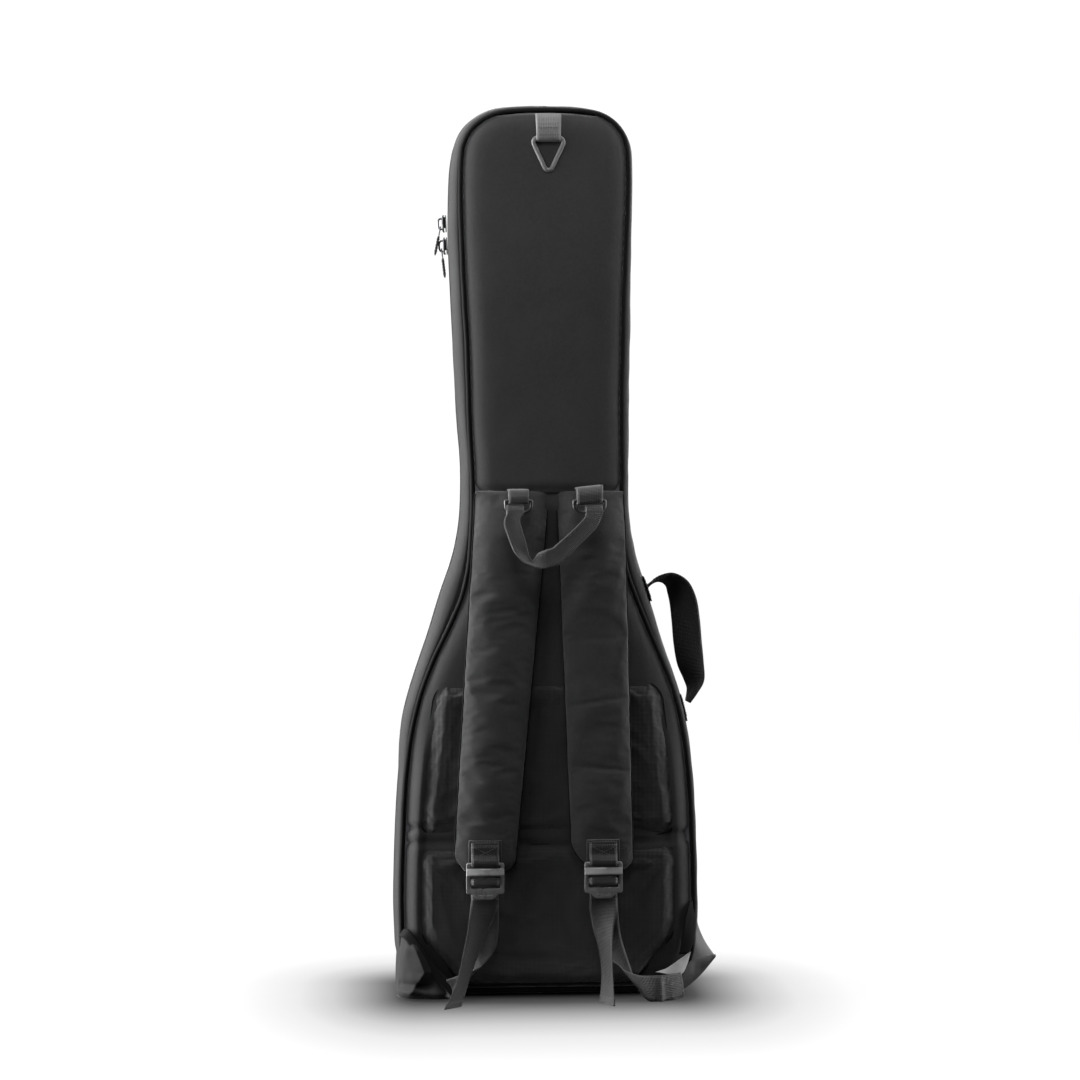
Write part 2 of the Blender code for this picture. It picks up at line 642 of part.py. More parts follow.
def carry_handle():
    """Wide webbing handle on the +X shoulder. Short sewn ends stay on the gusset, and the loop between them swings."""
    half = 0.017
    thick = 0.0035
    route = [  # x, z, how far the webbing is turned from lying across the gusset, in degrees
        (0.1215, 0.4800, 8), (0.1350, 0.4858, 16), (0.1500, 0.4810, 38), (0.1600, 0.4620, 56), (0.1645, 0.4380, 70),
        (0.1668, 0.4120, 72), (0.1700, 0.3880, 60), (0.1740, 0.3670, 38), (0.1700, 0.3520, 14),
    ]
    top, bottom = Vector((0.121, HANDLE_Y, 0.476)), Vector((0.167, HANDLE_Y, 0.338))
    pivot = joint_empty("carry_handle_pivot", (top + bottom) / 2)
    points = [Vector((x, HANDLE_Y, z)) for x, z, _ in route]
    rows = []
    for i, (point, (_, _, turn)) in enumerate(zip(points, route)):
        along = (points[min(i + 1, len(points) - 1)] - points[max(i - 1, 0)]).normalized()
        across = Vector((0, 1, 0))
        across.rotate(Matrix.Rotation(math.radians(-turn), 3, along))
        rows.append((point, across * half))
    hold(strip("carry_handle", rows, thick, "webbing", soften=0.001), pivot)
    for label, at, lean in (("upper", sample_at(0.476), 1), ("lower", sample_at(0.338), -1)):
        wall = wall_edge(GAP + 0.0010)
        a, b = wall[at - 1], wall[at + 1]
        along = Vector((b.x - a.x, 0, b.y - a.y)).normalized() * lean
        middle = Vector((wall[at].x, HANDLE_Y, wall[at].y))
        rows = [(middle + along * d, (0, half, 0)) for d in (-0.014, 0.010)]
        strip(f"handle_anchor_{label}", rows, WEBBING, "webbing")


# ---- Shoulder straps ----------------------------------------------------------------------------------------------
def strap_middle(side, z):
    top, bottom, _ = STRAPS[side]
    return top + (bottom - top) * (SEAM_Z - z) / (SEAM_Z - BUCKLE_BAR_Z)


def strap_half_width(side, z):
    share = (SEAM_Z - z) / (SEAM_Z - STRAP_END_Z)
    return (STRAPS[side][2] * (1 - share) + STRAP_END_WIDTH * share) / 2


def shoulder_strap(side):
    """Padded strap: the sewn top, the pad that swings, its buckle webbing, the ladder lock and the loose tail."""
    middle_y = (STRAP_BACK_Y + STRAP_FRONT_Y) / 2
    thick = STRAP_BACK_Y - STRAP_FRONT_Y
    sewn_back = -HALF_DEPTH - GAP
    rows = [
        ((strap_middle(side, z), (sewn_back + STRAP_FRONT_Y) / 2, z), (strap_half_width(side, z), 0, 0))
        for z in (SEAM_Z, STRAP_BEND_Z + 2 * GAP)
    ]
    strip(f"strap_anchor_{side}", rows, sewn_back - STRAP_FRONT_Y, "cover_fabric", soften=0.004)

    swing = joint_empty(f"strap_swing_{side}", (0, STRAP_FRONT_Y, STRAP_BEND_Z))
    taper = [(STRAP_BEND_Z - 2 * GAP, 1), (0.400, 1), (0.300, 1), (0.200, 1), (0.175, 0.97), (0.163, 0.86),
             (STRAP_END_Z, 0.66)]
    rows = [((strap_middle(side, z), middle_y, z), (strap_half_width(side, z) * k, 0, 0)) for z, k in taper]
    hold(strip(f"shoulder_strap_{side}", rows, thick, "cover_fabric", soften=0.0035), swing)

    x = STRAPS[side][1]
    fold = 0.0040
    front = BUCKLE_Y - fold
    path = [(STRAP_FRONT_Y - 0.0010, 0.1960), (BUCKLE_Y + fold, 0.1960)]
    path = [(BUCKLE_Y + fold, 0.1960)] + arc_points((BUCKLE_Y, BUCKLE_BAR_Z), fold, 0, -180, 6) + [(front, 0.1640)]
    path += [(BUCKLE_Y + fold - 0.0022, 0.1740)]
    webbing = [((x, *p), (WEBBING_WIDTH / 2, 0, 0)) for p in path]
    hold(strip(f"buckle_webbing_{side}", webbing, WEBBING, "webbing"), swing)

    buckle = joint_empty(f"buckle_pivot_{side}", (x, BUCKLE_Y, BUCKLE_BAR_Z))
    hold(ladder_lock(side, x), buckle)
    hold(buckle_thread(side, x), buckle)
    hold(buckle, swing)

    top = Vector((x, BUCKLE_Y + 0.0030, 0.1178))
    tail_pivot = joint_empty(f"tail_pivot_{side}", top)
    drift = {"left": (-0.006, -0.018, -0.030), "right": (-0.002, 0.004, 0.003)}[side]
    path = [top, (x + drift[0], -0.0740, 0.082), (x + drift[1], -0.0930, 0.036), (x + drift[2], -0.1200, 0.0035)]
    turns = (0, 35, 62, 40)
    rows = [
        (p, (WEBBING_WIDTH / 2 * math.cos(math.radians(t)), -WEBBING_WIDTH / 2 * math.sin(math.radians(t)), 0))
        for p, t in zip(path, turns)
    ]
    hold(strip(f"strap_tail_{side}", rows, WEBBING, "webbing"), tail_pivot)
    hold(tail_pivot, buckle)


def buckle_bars():
    """Heights of the ladder lock's edges, from its hinge bar's top down: bar, slot, bar, slot and so on."""
    edges = [BUCKLE_BAR_Z + 0.0015]
    for step in (0.0030, 0.0035, 0.0085, 0.0040, 0.0060, 0.0040, 0.0070):
        edges.append(edges[-1] - step)
    return edges


def ladder_lock(side, x):
    """Plastic frame: the strap's webbing holds the top bar, and the loose webbing grips the third bar."""
    half, slot = BUCKLE[0] / 2, WEBBING_WIDTH / 2 + 0.001
    edges = buckle_bars()

    def rectangle(low, high, reach, radius):
        corners = [(x - reach, low, radius), (x + reach, low, radius), (x + reach, high, radius),
                   (x - reach, high, radius)]
        return rounded_outline(corners, steps=2)

    tongue, low = TONGUE[0] / 2, edges[7] - TONGUE[1]
    outer = [(x - half, edges[7], 0.002), (x - tongue, edges[7], 0.001), (x - tongue + 0.004, low, 0.003),
             (x + tongue - 0.004, low, 0.003), (x + tongue, edges[7], 0.001), (x + half, edges[7], 0.002),
             (x + half, edges[0], 0.002), (x - half, edges[0], 0.002)]
    outline = tongue_corners(outer)
    holes = [rectangle(edges[k + 1], edges[k], slot, 0.001) for k in (1, 3, 5)]
    low_y, high_y = BUCKLE_Y - BUCKLE[2] / 2, BUCKLE_Y + BUCKLE[2] / 2
    return slab(f"ladder_lock_{side}", [outline] + holes, low_y, high_y, "buckle_plastic")


def tongue_corners(corners):
    """The frame's outline: its four outer corners are round, and those where the tongue leaves it are sharp."""
    found = []
    count = len(corners)
    for i, (u, v, radius) in enumerate(corners):
        here = Vector((u, v))
        before, after = Vector(corners[i - 1][:2]) - here, Vector(corners[(i + 1) % count][:2]) - here
        if radius < 0.0015:
            found.append(here)
            continue
        cut = radius * 0.7
        found += [here + before.normalized() * cut, here + after.normalized() * cut]
    return found


def buckle_thread(side, x):
    """The loose webbing's turn over the ladder lock's third bar."""
    edges = buckle_bars()
    middle = (edges[4] + edges[5]) / 2
    front = BUCKLE_Y - BUCKLE[2] / 2 - GAP - WEBBING / 2
    reach = (edges[4] - edges[5]) / 2 + GAP * 2 + WEBBING / 2
    path = [(BUCKLE_Y + 0.0020, middle + reach), (front + 0.0015, middle + reach), (front, middle + reach - 0.0012),
            (front, middle - reach + 0.0012), (front + 0.0015, middle - reach), (BUCKLE_Y + 0.0020, middle - reach)]
    rows = [((x, *p), (WEBBING_WIDTH / 2, 0, 0)) for p in path]
    return strip(f"buckle_thread_{side}", rows, WEBBING, "webbing")


def corner_wings():
    """Folded fabric triangles in the bottom corners. The left one is drawn forward over the corner, and the right one
    stands out. Slack webbing runs from each to behind its buckle."""
    x = wall_edge()[sample_at(0.060)].x + 0.0022
    left = [((-x, -0.026, 0.049), (0, 0, -0.038)), ((-x - 0.0005, -0.044, 0.045), (0, 0, -0.036)),
            ((-x + 0.010, -0.056, 0.036), (0, 0, -0.029)), ((-0.128, -0.0640, 0.0200), (0, 0, -0.0145))]
    right = [((x, -0.026, 0.049), (0, 0, 0.038)), ((x + 0.009, -0.028, 0.046), (0, 0, 0.024)),
             ((x + 0.018, -0.030, 0.042), (0, 0, 0.010))]
    strip("corner_wing_left", left, 0.0020, "webbing")
    strip("corner_wing_right", right, 0.0020, "webbing")

    half = WEBBING_WIDTH / 2
    run = {
        "left": [((-0.1265, -0.0665, 0.0195), (0, 0, 0.0120)), ((-0.112, -0.0700, 0.0190), (0.004, 0, 0.0140)),
                 ((-0.090, -0.0700, 0.0290), (0.010, 0, 0.0120)), ((-0.076, -0.0640, 0.0550), (half * 0.9, 0, 0.006)),
                 ((-0.0735, -0.0605, 0.0900), (half, 0, 0)), ((-0.0745, -0.0635, 0.1270), (half, 0, 0))],
        "right": [((0.1985, -0.0355, 0.0400), (0, 0.002, 0.0090)), ((0.1900, -0.0480, 0.0260), (0.004, 0, 0.0130)),
                  ((0.168, -0.0600, 0.0180), (0.004, 0, 0.0150)), ((0.138, -0.0680, 0.0172), (0, 0, half)),
                  ((0.106, -0.0700, 0.0200), (-0.005, 0, half)), ((0.082, -0.0660, 0.0400), (-0.012, 0, 0.0100)),
                  ((0.067, -0.0610, 0.0800), (-half, 0, 0.002)), ((0.0627, -0.0635, 0.1270), (-half, 0, 0))],
    }
    for side, rows in run.items():
        strip(f"lower_webbing_{side}", rows, WEBBING, "webbing")


clear_scene()
BAG = collection("gig_bag")
CUTTERS = collection("cutters")
EDGE = edge_samples()
LID_AXIS_X = max(p.x for p in wall_edge()) + 2 * GAP + FABRIC

back_layers()
back_pads()
piping("back_piping", -HALF_DEPTH + PIPING_RADIUS - 0.0005)
piping("front_piping", HALF_DEPTH - PIPING_RADIUS + 0.0005)
bag_gusset()
zip_track("zipper_track_bag", SPLIT_Y - 0.0115, SPLIT_Y - GAP)
zip_track("zipper_track_lid", SPLIT_Y + GAP, SPLIT_Y + 0.0115)
base_panels()
inside_fittings()
LID = lid_layers()
accessory_pocket(LID)
neck_pocket(LID)
all_zip_sliders(LID)
hanging_ring()
haul_loop()
carry_handle()
for strap_side in STRAPS:
    shoulder_strap(strap_side)
corner_wings()
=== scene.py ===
"""Looks of the padded gig bag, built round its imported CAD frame. Metres, +Z up, shoulder straps towards -Y."""

import json
import math

import bmesh
import bpy
import numpy as np
from mathutils import Matrix, Vector, noise


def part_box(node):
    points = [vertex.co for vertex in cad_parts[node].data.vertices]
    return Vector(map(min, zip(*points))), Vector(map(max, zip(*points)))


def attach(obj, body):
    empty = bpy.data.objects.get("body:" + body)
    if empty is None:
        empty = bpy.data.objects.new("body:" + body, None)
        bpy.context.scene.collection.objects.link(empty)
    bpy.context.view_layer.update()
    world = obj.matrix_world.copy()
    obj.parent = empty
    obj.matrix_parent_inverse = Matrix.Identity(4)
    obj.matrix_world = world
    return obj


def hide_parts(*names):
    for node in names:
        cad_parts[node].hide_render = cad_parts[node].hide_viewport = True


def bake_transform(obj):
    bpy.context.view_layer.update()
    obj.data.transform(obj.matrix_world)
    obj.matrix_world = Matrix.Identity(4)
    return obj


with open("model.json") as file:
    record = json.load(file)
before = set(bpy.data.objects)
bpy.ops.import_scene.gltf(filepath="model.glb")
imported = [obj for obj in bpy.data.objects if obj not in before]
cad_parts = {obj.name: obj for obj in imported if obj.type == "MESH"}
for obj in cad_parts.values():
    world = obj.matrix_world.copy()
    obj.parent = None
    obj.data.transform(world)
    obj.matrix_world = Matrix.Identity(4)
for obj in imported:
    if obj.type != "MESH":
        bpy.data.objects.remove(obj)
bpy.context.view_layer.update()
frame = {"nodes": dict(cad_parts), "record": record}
NODES = frame["nodes"]

# ---- Outline of the panels, as in the CAD -------------------------------------------------------------------------
HALF_OUTLINE = (
    (0.0, 0.008, 0), (0.12, 0.008, 0), (0.17, 0.06, 88), (0.1715, 0.115, 91), (0.165, 0.262, 95),
    (0.156, 0.325, 102), (0.1275, 0.408, 114), (0.0975, 0.488, 106), (0.088, 0.6, 89.06),
    (0.0935, 0.935, 89.06), (0.0928, 0.985, 95), (0.052, 1.029, 171), (0.0, 1.032, 180),
)
BACK_Y, FRONT_Y, SPLIT_Y = -0.045, 0.045, 0.02
SEAM_Z = 0.59
HINGE_Z = (0.06, 0.262)


def half_points(steps=16):
    pts = [np.array(HALF_OUTLINE[0][:2])]
    for (x0, z0, h0), (x1, z1, h1) in zip(HALF_OUTLINE, HALF_OUTLINE[1:]):
        turn = math.radians(h1 - h0)
        chord = math.hypot(x1 - x0, z1 - z0)
        reach = chord / 3 if abs(turn) < 1e-3 else chord * (2 / 3) * math.tan(turn / 4) / math.sin(turn / 2)
        a, b = np.array((x0, z0)), np.array((x1, z1))
        c = a + reach * np.array((math.cos(math.radians(h0)), math.sin(math.radians(h0))))
        d = b - reach * np.array((math.cos(math.radians(h1)), math.sin(math.radians(h1))))
        for i in range(1, steps + 1):
            t = i / steps
            pts.append((1 - t) ** 3 * a + 3 * t * (1 - t) ** 2 * c + 3 * t * t * (1 - t) * d + t ** 3 * b)
    return np.array(pts)


def lengths(path):
    """The distance along a polyline at each of its points."""
    return np.concatenate([[0], np.cumsum(np.linalg.norm(np.diff(path, axis=0), axis=1))])


def sample(path, s, at):
    """The points of a path, whose lengths are s, at other distances along it."""
    return np.stack([np.interp(at, s, path[:, k]) for k in range(path.shape[1])], axis=-1)


def resample(points, count, closed=False):
    """Points at even steps along a polyline of any dimension."""
    points = np.asarray(points, float)
    if closed:
        points = np.vstack([points, points[:1]])
    s = lengths(points)
    return sample(points, s, np.linspace(0, s[-1], count + 1)[:-1] if closed else np.linspace(0, s[-1], count))


LOOP = 640
WIDEN = {
    -1: ((0.0, 0.0), (0.4, 0.0), (0.465, -0.004), (0.53, 0.0), (0.62, 0.0), (0.674, 0.0026), (0.72, 0.0026),
         (0.7675, 0.0036),
         (0.813, 0.0056), (0.8792, 0.0076), (0.93, 0.008), (0.965, 0.0075), (0.99, 0.0064), (1.012, 0.0042),
         (1.025, 0.0018),
         (1.032, 0.0), (1.1, 0.0)),
    1: ((0.0, 0.0), (0.44, 0.0), (0.5, -0.003), (0.54, -0.003), (0.58, -0.001), (0.62, -0.001), (0.7, -0.0028),
        (0.82, -0.0024), (0.9, -0.0005), (0.97, 0.0), (1.1, 0.0)),
}


def smooth_table(rows, z):
    """A smooth curve through (z, value) rows."""
    rows = np.array(rows)
    fine = np.linspace(rows[0, 0], rows[-1, 0], 2200)
    values = np.interp(fine, rows[:, 0], rows[:, 1])
    kernel = np.hanning(31)
    padded = np.pad(values, 15, mode="edge")
    return np.interp(z, fine, np.convolve(padded, kernel / kernel.sum(), mode="valid"))


def widened(points, side):
    """Half of the outline with the neck's lean in it."""
    shift = smooth_table(WIDEN[side], points[:, 1]) * ramp(points[:, 0], 0.03, 0.07)
    return np.stack([side * (points[:, 0] + shift), points[:, 1]], axis=1)


def ramp(v, low, high):
    t = np.clip((np.asarray(v, float) - low) / (high - low), 0, 1)
    return t * t * (3 - 2 * t)


_half = half_points()
EDGE = resample(np.vstack([widened(_half, 1), widened(_half, -1)[-2:0:-1]]), LOOP, closed=True)
_tangent = np.roll(EDGE, -1, 0) - np.roll(EDGE, 1, 0)
_tangent /= np.linalg.norm(_tangent, axis=1)[:, None]
NORMAL = np.stack([_tangent[:, 1], -_tangent[:, 0]], axis=1)
for _ in range(4):
    NORMAL = (np.roll(NORMAL, 1, 0) + 2 * NORMAL + np.roll(NORMAL, -1, 0)) / 4
NORMAL /= np.linalg.norm(NORMAL, axis=1)[:, None]


SWELL = {
    -1: ((0.0, 0.0), (0.262, 0.0), (0.29, 0.0025), (0.32, 0.0042), (0.4, 0.0042), (0.465, 0.0082), (0.535, 0.0054),
         (0.57, 0.0044), (0.6, 0.0036), (0.64, 0.0034), (0.7, 0.0054), (0.75, 0.0066), (0.8233, 0.006),
         (0.8792, 0.006),
         (0.9, 0.0058), (0.94, 0.0043), (0.965, 0.0033), (0.99, 0.0018), (1.01, 0.0015), (1.0226, 0.001),
         (1.0284, 0.0006),
         (1.032, 0.0), (1.1, 0.0)),
    1: ((0.0, 0.0), (0.44, 0.0), (0.5, 0.004), (0.53, 0.0055), (0.55, 0.0045), (0.58, 0.0015), (0.62, 0.001),
        (0.7, 0.0028), (0.82, 0.0024), (0.9, 0.0005), (0.97, 0.0), (1.1, 0.0)),
}


def bulge(x, z):
    """How far the gusset's outer face stands out past the panels' edge."""
    extra = np.where(np.asarray(x) < 0, smooth_table(SWELL[-1], z), smooth_table(SWELL[1], z))
    return 0.006 + 0.008 * np.exp(-(((np.asarray(z) - 0.465) / 0.06) ** 2)) + extra


def panel_sides(z, inset=0.0):
    """The panel's left and right x at a height."""
    ring = EDGE - NORMAL * inset
    top = LOOP // 2
    found = []
    for half in (np.vstack([ring[top:], ring[:1]])[::-1], ring[: top + 1]):
        level = np.maximum.accumulate(half[:, 1])
        keep = np.concatenate([[True], np.diff(level) > 1e-7])
        keep &= np.arange(len(half)) > 0.06 * len(half)
        found.append(np.interp(z, level[keep], half[keep, 0]))
    return found


def edge_distance(x, z, inset=0.0):
    """How far points are inside the panels' edge."""
    ring = EDGE - NORMAL * inset
    d = np.full(x.shape, 9.0)
    for k in range(0, LOOP):
        d = np.minimum(d, (x - ring[k, 0]) ** 2 + (z - ring[k, 1]) ** 2)
    return np.sqrt(d)


def rough(points, size, seed=0.0, octaves=3):
    """Smooth noise from -1 to 1 at each point. size is a feature's size in metres, or one per axis."""
    size = np.broadcast_to(np.asarray(size, float), (3,))
    flat = np.asarray(points, float).reshape(-1, 3) / size + seed
    out = np.array([noise.fractal(Vector(p), 1.0, 2.0, octaves, noise_basis="PERLIN_ORIGINAL") for p in flat])
    return out.reshape(np.asarray(points).shape[:-1])


# ---- Meshes -------------------------------------------------------------------------------------------------------
def link(name, data):
    """A new object in the scene."""
    obj = bpy.data.objects.new(name, data)
    bpy.context.scene.collection.objects.link(obj)
    return obj


def from_bmesh(name, shape, sharp=None):
    """An object from a bmesh, smooth up to the angle in degrees if one is given."""
    mesh = bpy.data.meshes.new(name)
    shape.to_mesh(mesh)
    shape.free()
    mesh.shade_smooth()
    if sharp:
        mesh.set_sharp_from_angle(angle=math.radians(sharp))
    return link(name, mesh)


def get_points(obj):
    return np.array([v.co[:] for v in obj.data.vertices])


def set_points(obj, points):
    obj.data.vertices.foreach_set("co", points.astype(np.float32).ravel())


def upright(points, y):
    """(x, z) points stood up at depth y."""
    return np.stack([points[:, 0], np.broadcast_to(y, (len(points),)), points[:, 1]], axis=1)


def flat_points(x, z):
    return np.stack([x, np.zeros_like(x), z], axis=-1)


def add_mesh(name, verts, faces, smooth=True, uvs=None):
    mesh = bpy.data.meshes.new(name)
    mesh.from_pydata([tuple(v) for v in verts], [], faces)
    if uvs is not None:
        layer = mesh.uv_layers.new(name="UVMap")
        loops = np.empty(len(mesh.loops), int)
        mesh.loops.foreach_get("vertex_index", loops)
        layer.data.foreach_set("uv", np.asarray(uvs, float)[loops].ravel())
    if smooth:
        mesh.shade_smooth()
    return link(name, mesh)


def grid(name, pts, closed_u=False, closed_v=False, uv=None):
    """A surface through a grid of points, pts[u][v]."""
    pts = np.asarray(pts, float)
    nu, nv = pts.shape[:2]
    faces = []
    for i in range(nu if closed_u else nu - 1):
        for j in range(nv if closed_v else nv - 1):
            a, b = i * nv + j, ((i + 1) % nu) * nv + j
            c, d = ((i + 1) % nu) * nv + (j + 1) % nv, i * nv + (j + 1) % nv
            faces.append((a, b, c, d))
    uvs = None if uv is None else np.asarray(uv, float).reshape(-1, 2)
    return add_mesh(name, pts.reshape(-1, 3), faces, uvs=uvs)


def modify(obj, kind, **values):
    mod = obj.modifiers.new(kind.title(), kind)
    for key, value in values.items():
        setattr(mod, key, value)
    return obj


def solidify(obj, thickness, offset=-1.0):
    return modify(obj, "SOLIDIFY", thickness=thickness, offset=offset)


def bake_mods(obj):
    """The object with its modifiers made real."""
    bpy.context.view_layer.update()
    graph = bpy.context.evaluated_depsgraph_get()
    mesh = bpy.data.meshes.new_from_object(obj.evaluated_get(graph), preserve_all_data_layers=True, depsgraph=graph)
    obj.modifiers.clear()
    old = obj.data
    obj.data = mesh
    bpy.data.meshes.remove(old)
    return obj


def frames(path, closed=False, up=(0, 1, 0)):
    """Tangent, side and up vectors along a path, with up kept near the given one."""
    path = np.asarray(path, float)
    t = (np.roll(path, -1, 0) - np.roll(path, 1, 0)) if closed else np.gradient(path, axis=0)
    t /= np.linalg.norm(t, axis=1)[:, None]
    up = np.broadcast_to(np.asarray(up, float), t.shape)
    side = np.cross(t, up)
    side /= np.linalg.norm(side, axis=1)[:, None]
    return t, side, np.cross(side, t)


def tidy(obj, fill=False):
    """Turns a mesh's faces outwards, after filling its open ends if asked."""
    shape = bmesh.new()
    shape.from_mesh(obj.data)
    if fill:
        bmesh.ops.holes_fill(shape, edges=[e for e in shape.edges if e.is_boundary])
    bmesh.ops.recalc_face_normals(shape, faces=shape.faces)
    shape.to_mesh(obj.data)
    shape.free()
    return obj


def tube(name, path, radius, closed=False, sides=12, up=(0, 1, 0)):
    """A round tube along a path. An open one has its ends filled."""
    t, side, top = frames(path, closed, up)
    path = np.asarray(path, float)
    radius = np.broadcast_to(np.asarray(radius, float), (len(path),))
    a = np.linspace(0, 2 * math.pi, sides, endpoint=False)
    ring = side[:, None] * np.cos(a)[None, :, None] + top[:, None] * np.sin(a)[None, :, None]
    pts = path[:, None] + ring * radius[:, None, None]
    return tidy(grid(name, pts, closed_u=closed, closed_v=True), fill=not closed)


def spline(rows, count):
    """Catmull-Rom through rows of numbers, then evenly spaced by the first three."""
    rows = np.asarray(rows, float)
    ext = np.vstack([2 * rows[0] - rows[1], rows, 2 * rows[-1] - rows[-2]])
    out = []
    for i in range(1, len(ext) - 2):
        p0, p1, p2, p3 = ext[i - 1: i + 3]
        for t in np.linspace(0, 1, 24, endpoint=False):
            out.append(0.5 * (2 * p1 + (p2 - p0) * t + (2 * p0 - 5 * p1 + 4 * p2 - p3) * t * t
                              + (3 * p1 - p0 - 3 * p2 + p3) * t ** 3))
    out.append(rows[-1])
    out = np.array(out)
    s = lengths(out[:, :3])
    return sample(out, s, np.linspace(0, s[-1], count))


def strap(name, rows, thickness=0.0014, count=60, across=9, cup=0.0):
    """Flat webbing through rows of (middle, half of the width as a vector), with a rounded thickness."""
    flat = spline(np.array([list(c) + list(a) for c, a in rows], float), count)
    mid, half = flat[:, :3], flat[:, 3:]
    width = np.linalg.norm(half, axis=1)
    length = lengths(mid)
    t = np.gradient(mid, axis=0)
    normal = np.cross(t, half)
    normal /= np.linalg.norm(normal, axis=1)[:, None] + 1e-12
    u = np.linspace(-1, 1, across)
    top, bottom, uv_top = [], [], []
    th = thickness / 2
    for i in range(len(mid)):
        bend = normal[i] * cup * (u[:, None] ** 2)
        lift = th * np.clip((1 - np.abs(u)) * width[i] / th, 0.35, 1)[:, None]
        base = mid[i] + half[i] * u[:, None] + bend
        top.append(base + normal[i] * lift)
        bottom.append(base - normal[i] * lift)
        uv_top.append(np.stack([u * width[i], np.full(across, length[i])], axis=1))
    ring = np.concatenate([np.array(top), np.array(bottom)[:, ::-1]], axis=1)
    uv = np.concatenate([np.array(uv_top), np.array(uv_top)[:, ::-1]], axis=1)
    obj = grid(name, ring, closed_v=True, uv=uv)
    shape = bmesh.new()
    shape.from_mesh(obj.data)
    shape.verts.ensure_lookup_table()
    n = 2 * across
    for start in (0, (len(mid) - 1) * n):
        for k in range(across - 1):
            shape.faces.new([shape.verts[start + m] for m in (k, k + 1, n - 2 - k, n - 1 - k)])
    bmesh.ops.recalc_face_normals(shape, faces=shape.faces)
    shape.to_mesh(obj.data)
    shape.free()
    obj.data.shade_smooth()
    return obj


def stitches(name, path, pitch=0.0042, length=0.003, thick=0.00032):
    """A row of separate thread stitches along a path."""
    path = np.asarray(path, float)
    total = np.linalg.norm(np.diff(path, axis=0), axis=1).sum()
    s = lengths(path)
    verts, faces = [], []
    for i in range(max(2, int(total / pitch))):
        a, b = sample(path, s, i * pitch), sample(path, s, i * pitch + length)
        d = b - a
        if np.linalg.norm(d) < 1e-6:
            continue
        d /= np.linalg.norm(d)
        ref = np.array((0.0, 1.0, 0.0)) if abs(d[1]) < 0.9 else np.array((1.0, 0.0, 0.0))
        side = np.cross(d, ref)
        side /= np.linalg.norm(side)
        top = np.cross(side, d)
        base = len(verts)
        for p, r in ((a, 0.45), ((a + b) / 2, 1.0), (b, 0.45)):
            for k in range(5):
                an = 2 * math.pi * k / 5
                verts.append(p + thick * r * (side * math.cos(an) + top * math.sin(an)))
        for m in range(2):
            for k in range(5):
                faces.append((base + m * 5 + k, base + m * 5 + (k + 1) % 5, base + m * 5 + 5 + (k + 1) % 5,
                              base + m * 5 + 5 + k))
        faces.append(tuple(base + k for k in range(4, -1, -1)))
        faces.append(tuple(base + 10 + k for k in range(5)))
    return tidy(add_mesh(name, verts, faces))


def join(name, *objs):
    """One object from several."""
    shape = bmesh.new()
    for o in objs:
        bpy.context.view_layer.update()
        part = o.data.copy()
        part.transform(o.matrix_world)
        shape.from_mesh(part)
        bpy.data.meshes.remove(part)
    for o in objs:
        bpy.data.objects.remove(o)
    return from_bmesh(name, shape)


def box_mesh(name, low, high, bevel, segments=3):
    """A block with rounded edges."""
    shape = bmesh.new()
    bmesh.ops.create_cube(shape, size=1.0)
    low, high = Vector(low), Vector(high)
    bmesh.ops.scale(shape, vec=high - low, verts=shape.verts)
    bmesh.ops.translate(shape, vec=(low + high) / 2, verts=shape.verts)
    bmesh.ops.bevel(shape, geom=shape.edges[:], offset=bevel, segments=segments, profile=0.5, affect="EDGES")
    return from_bmesh(name, shape, sharp=50)


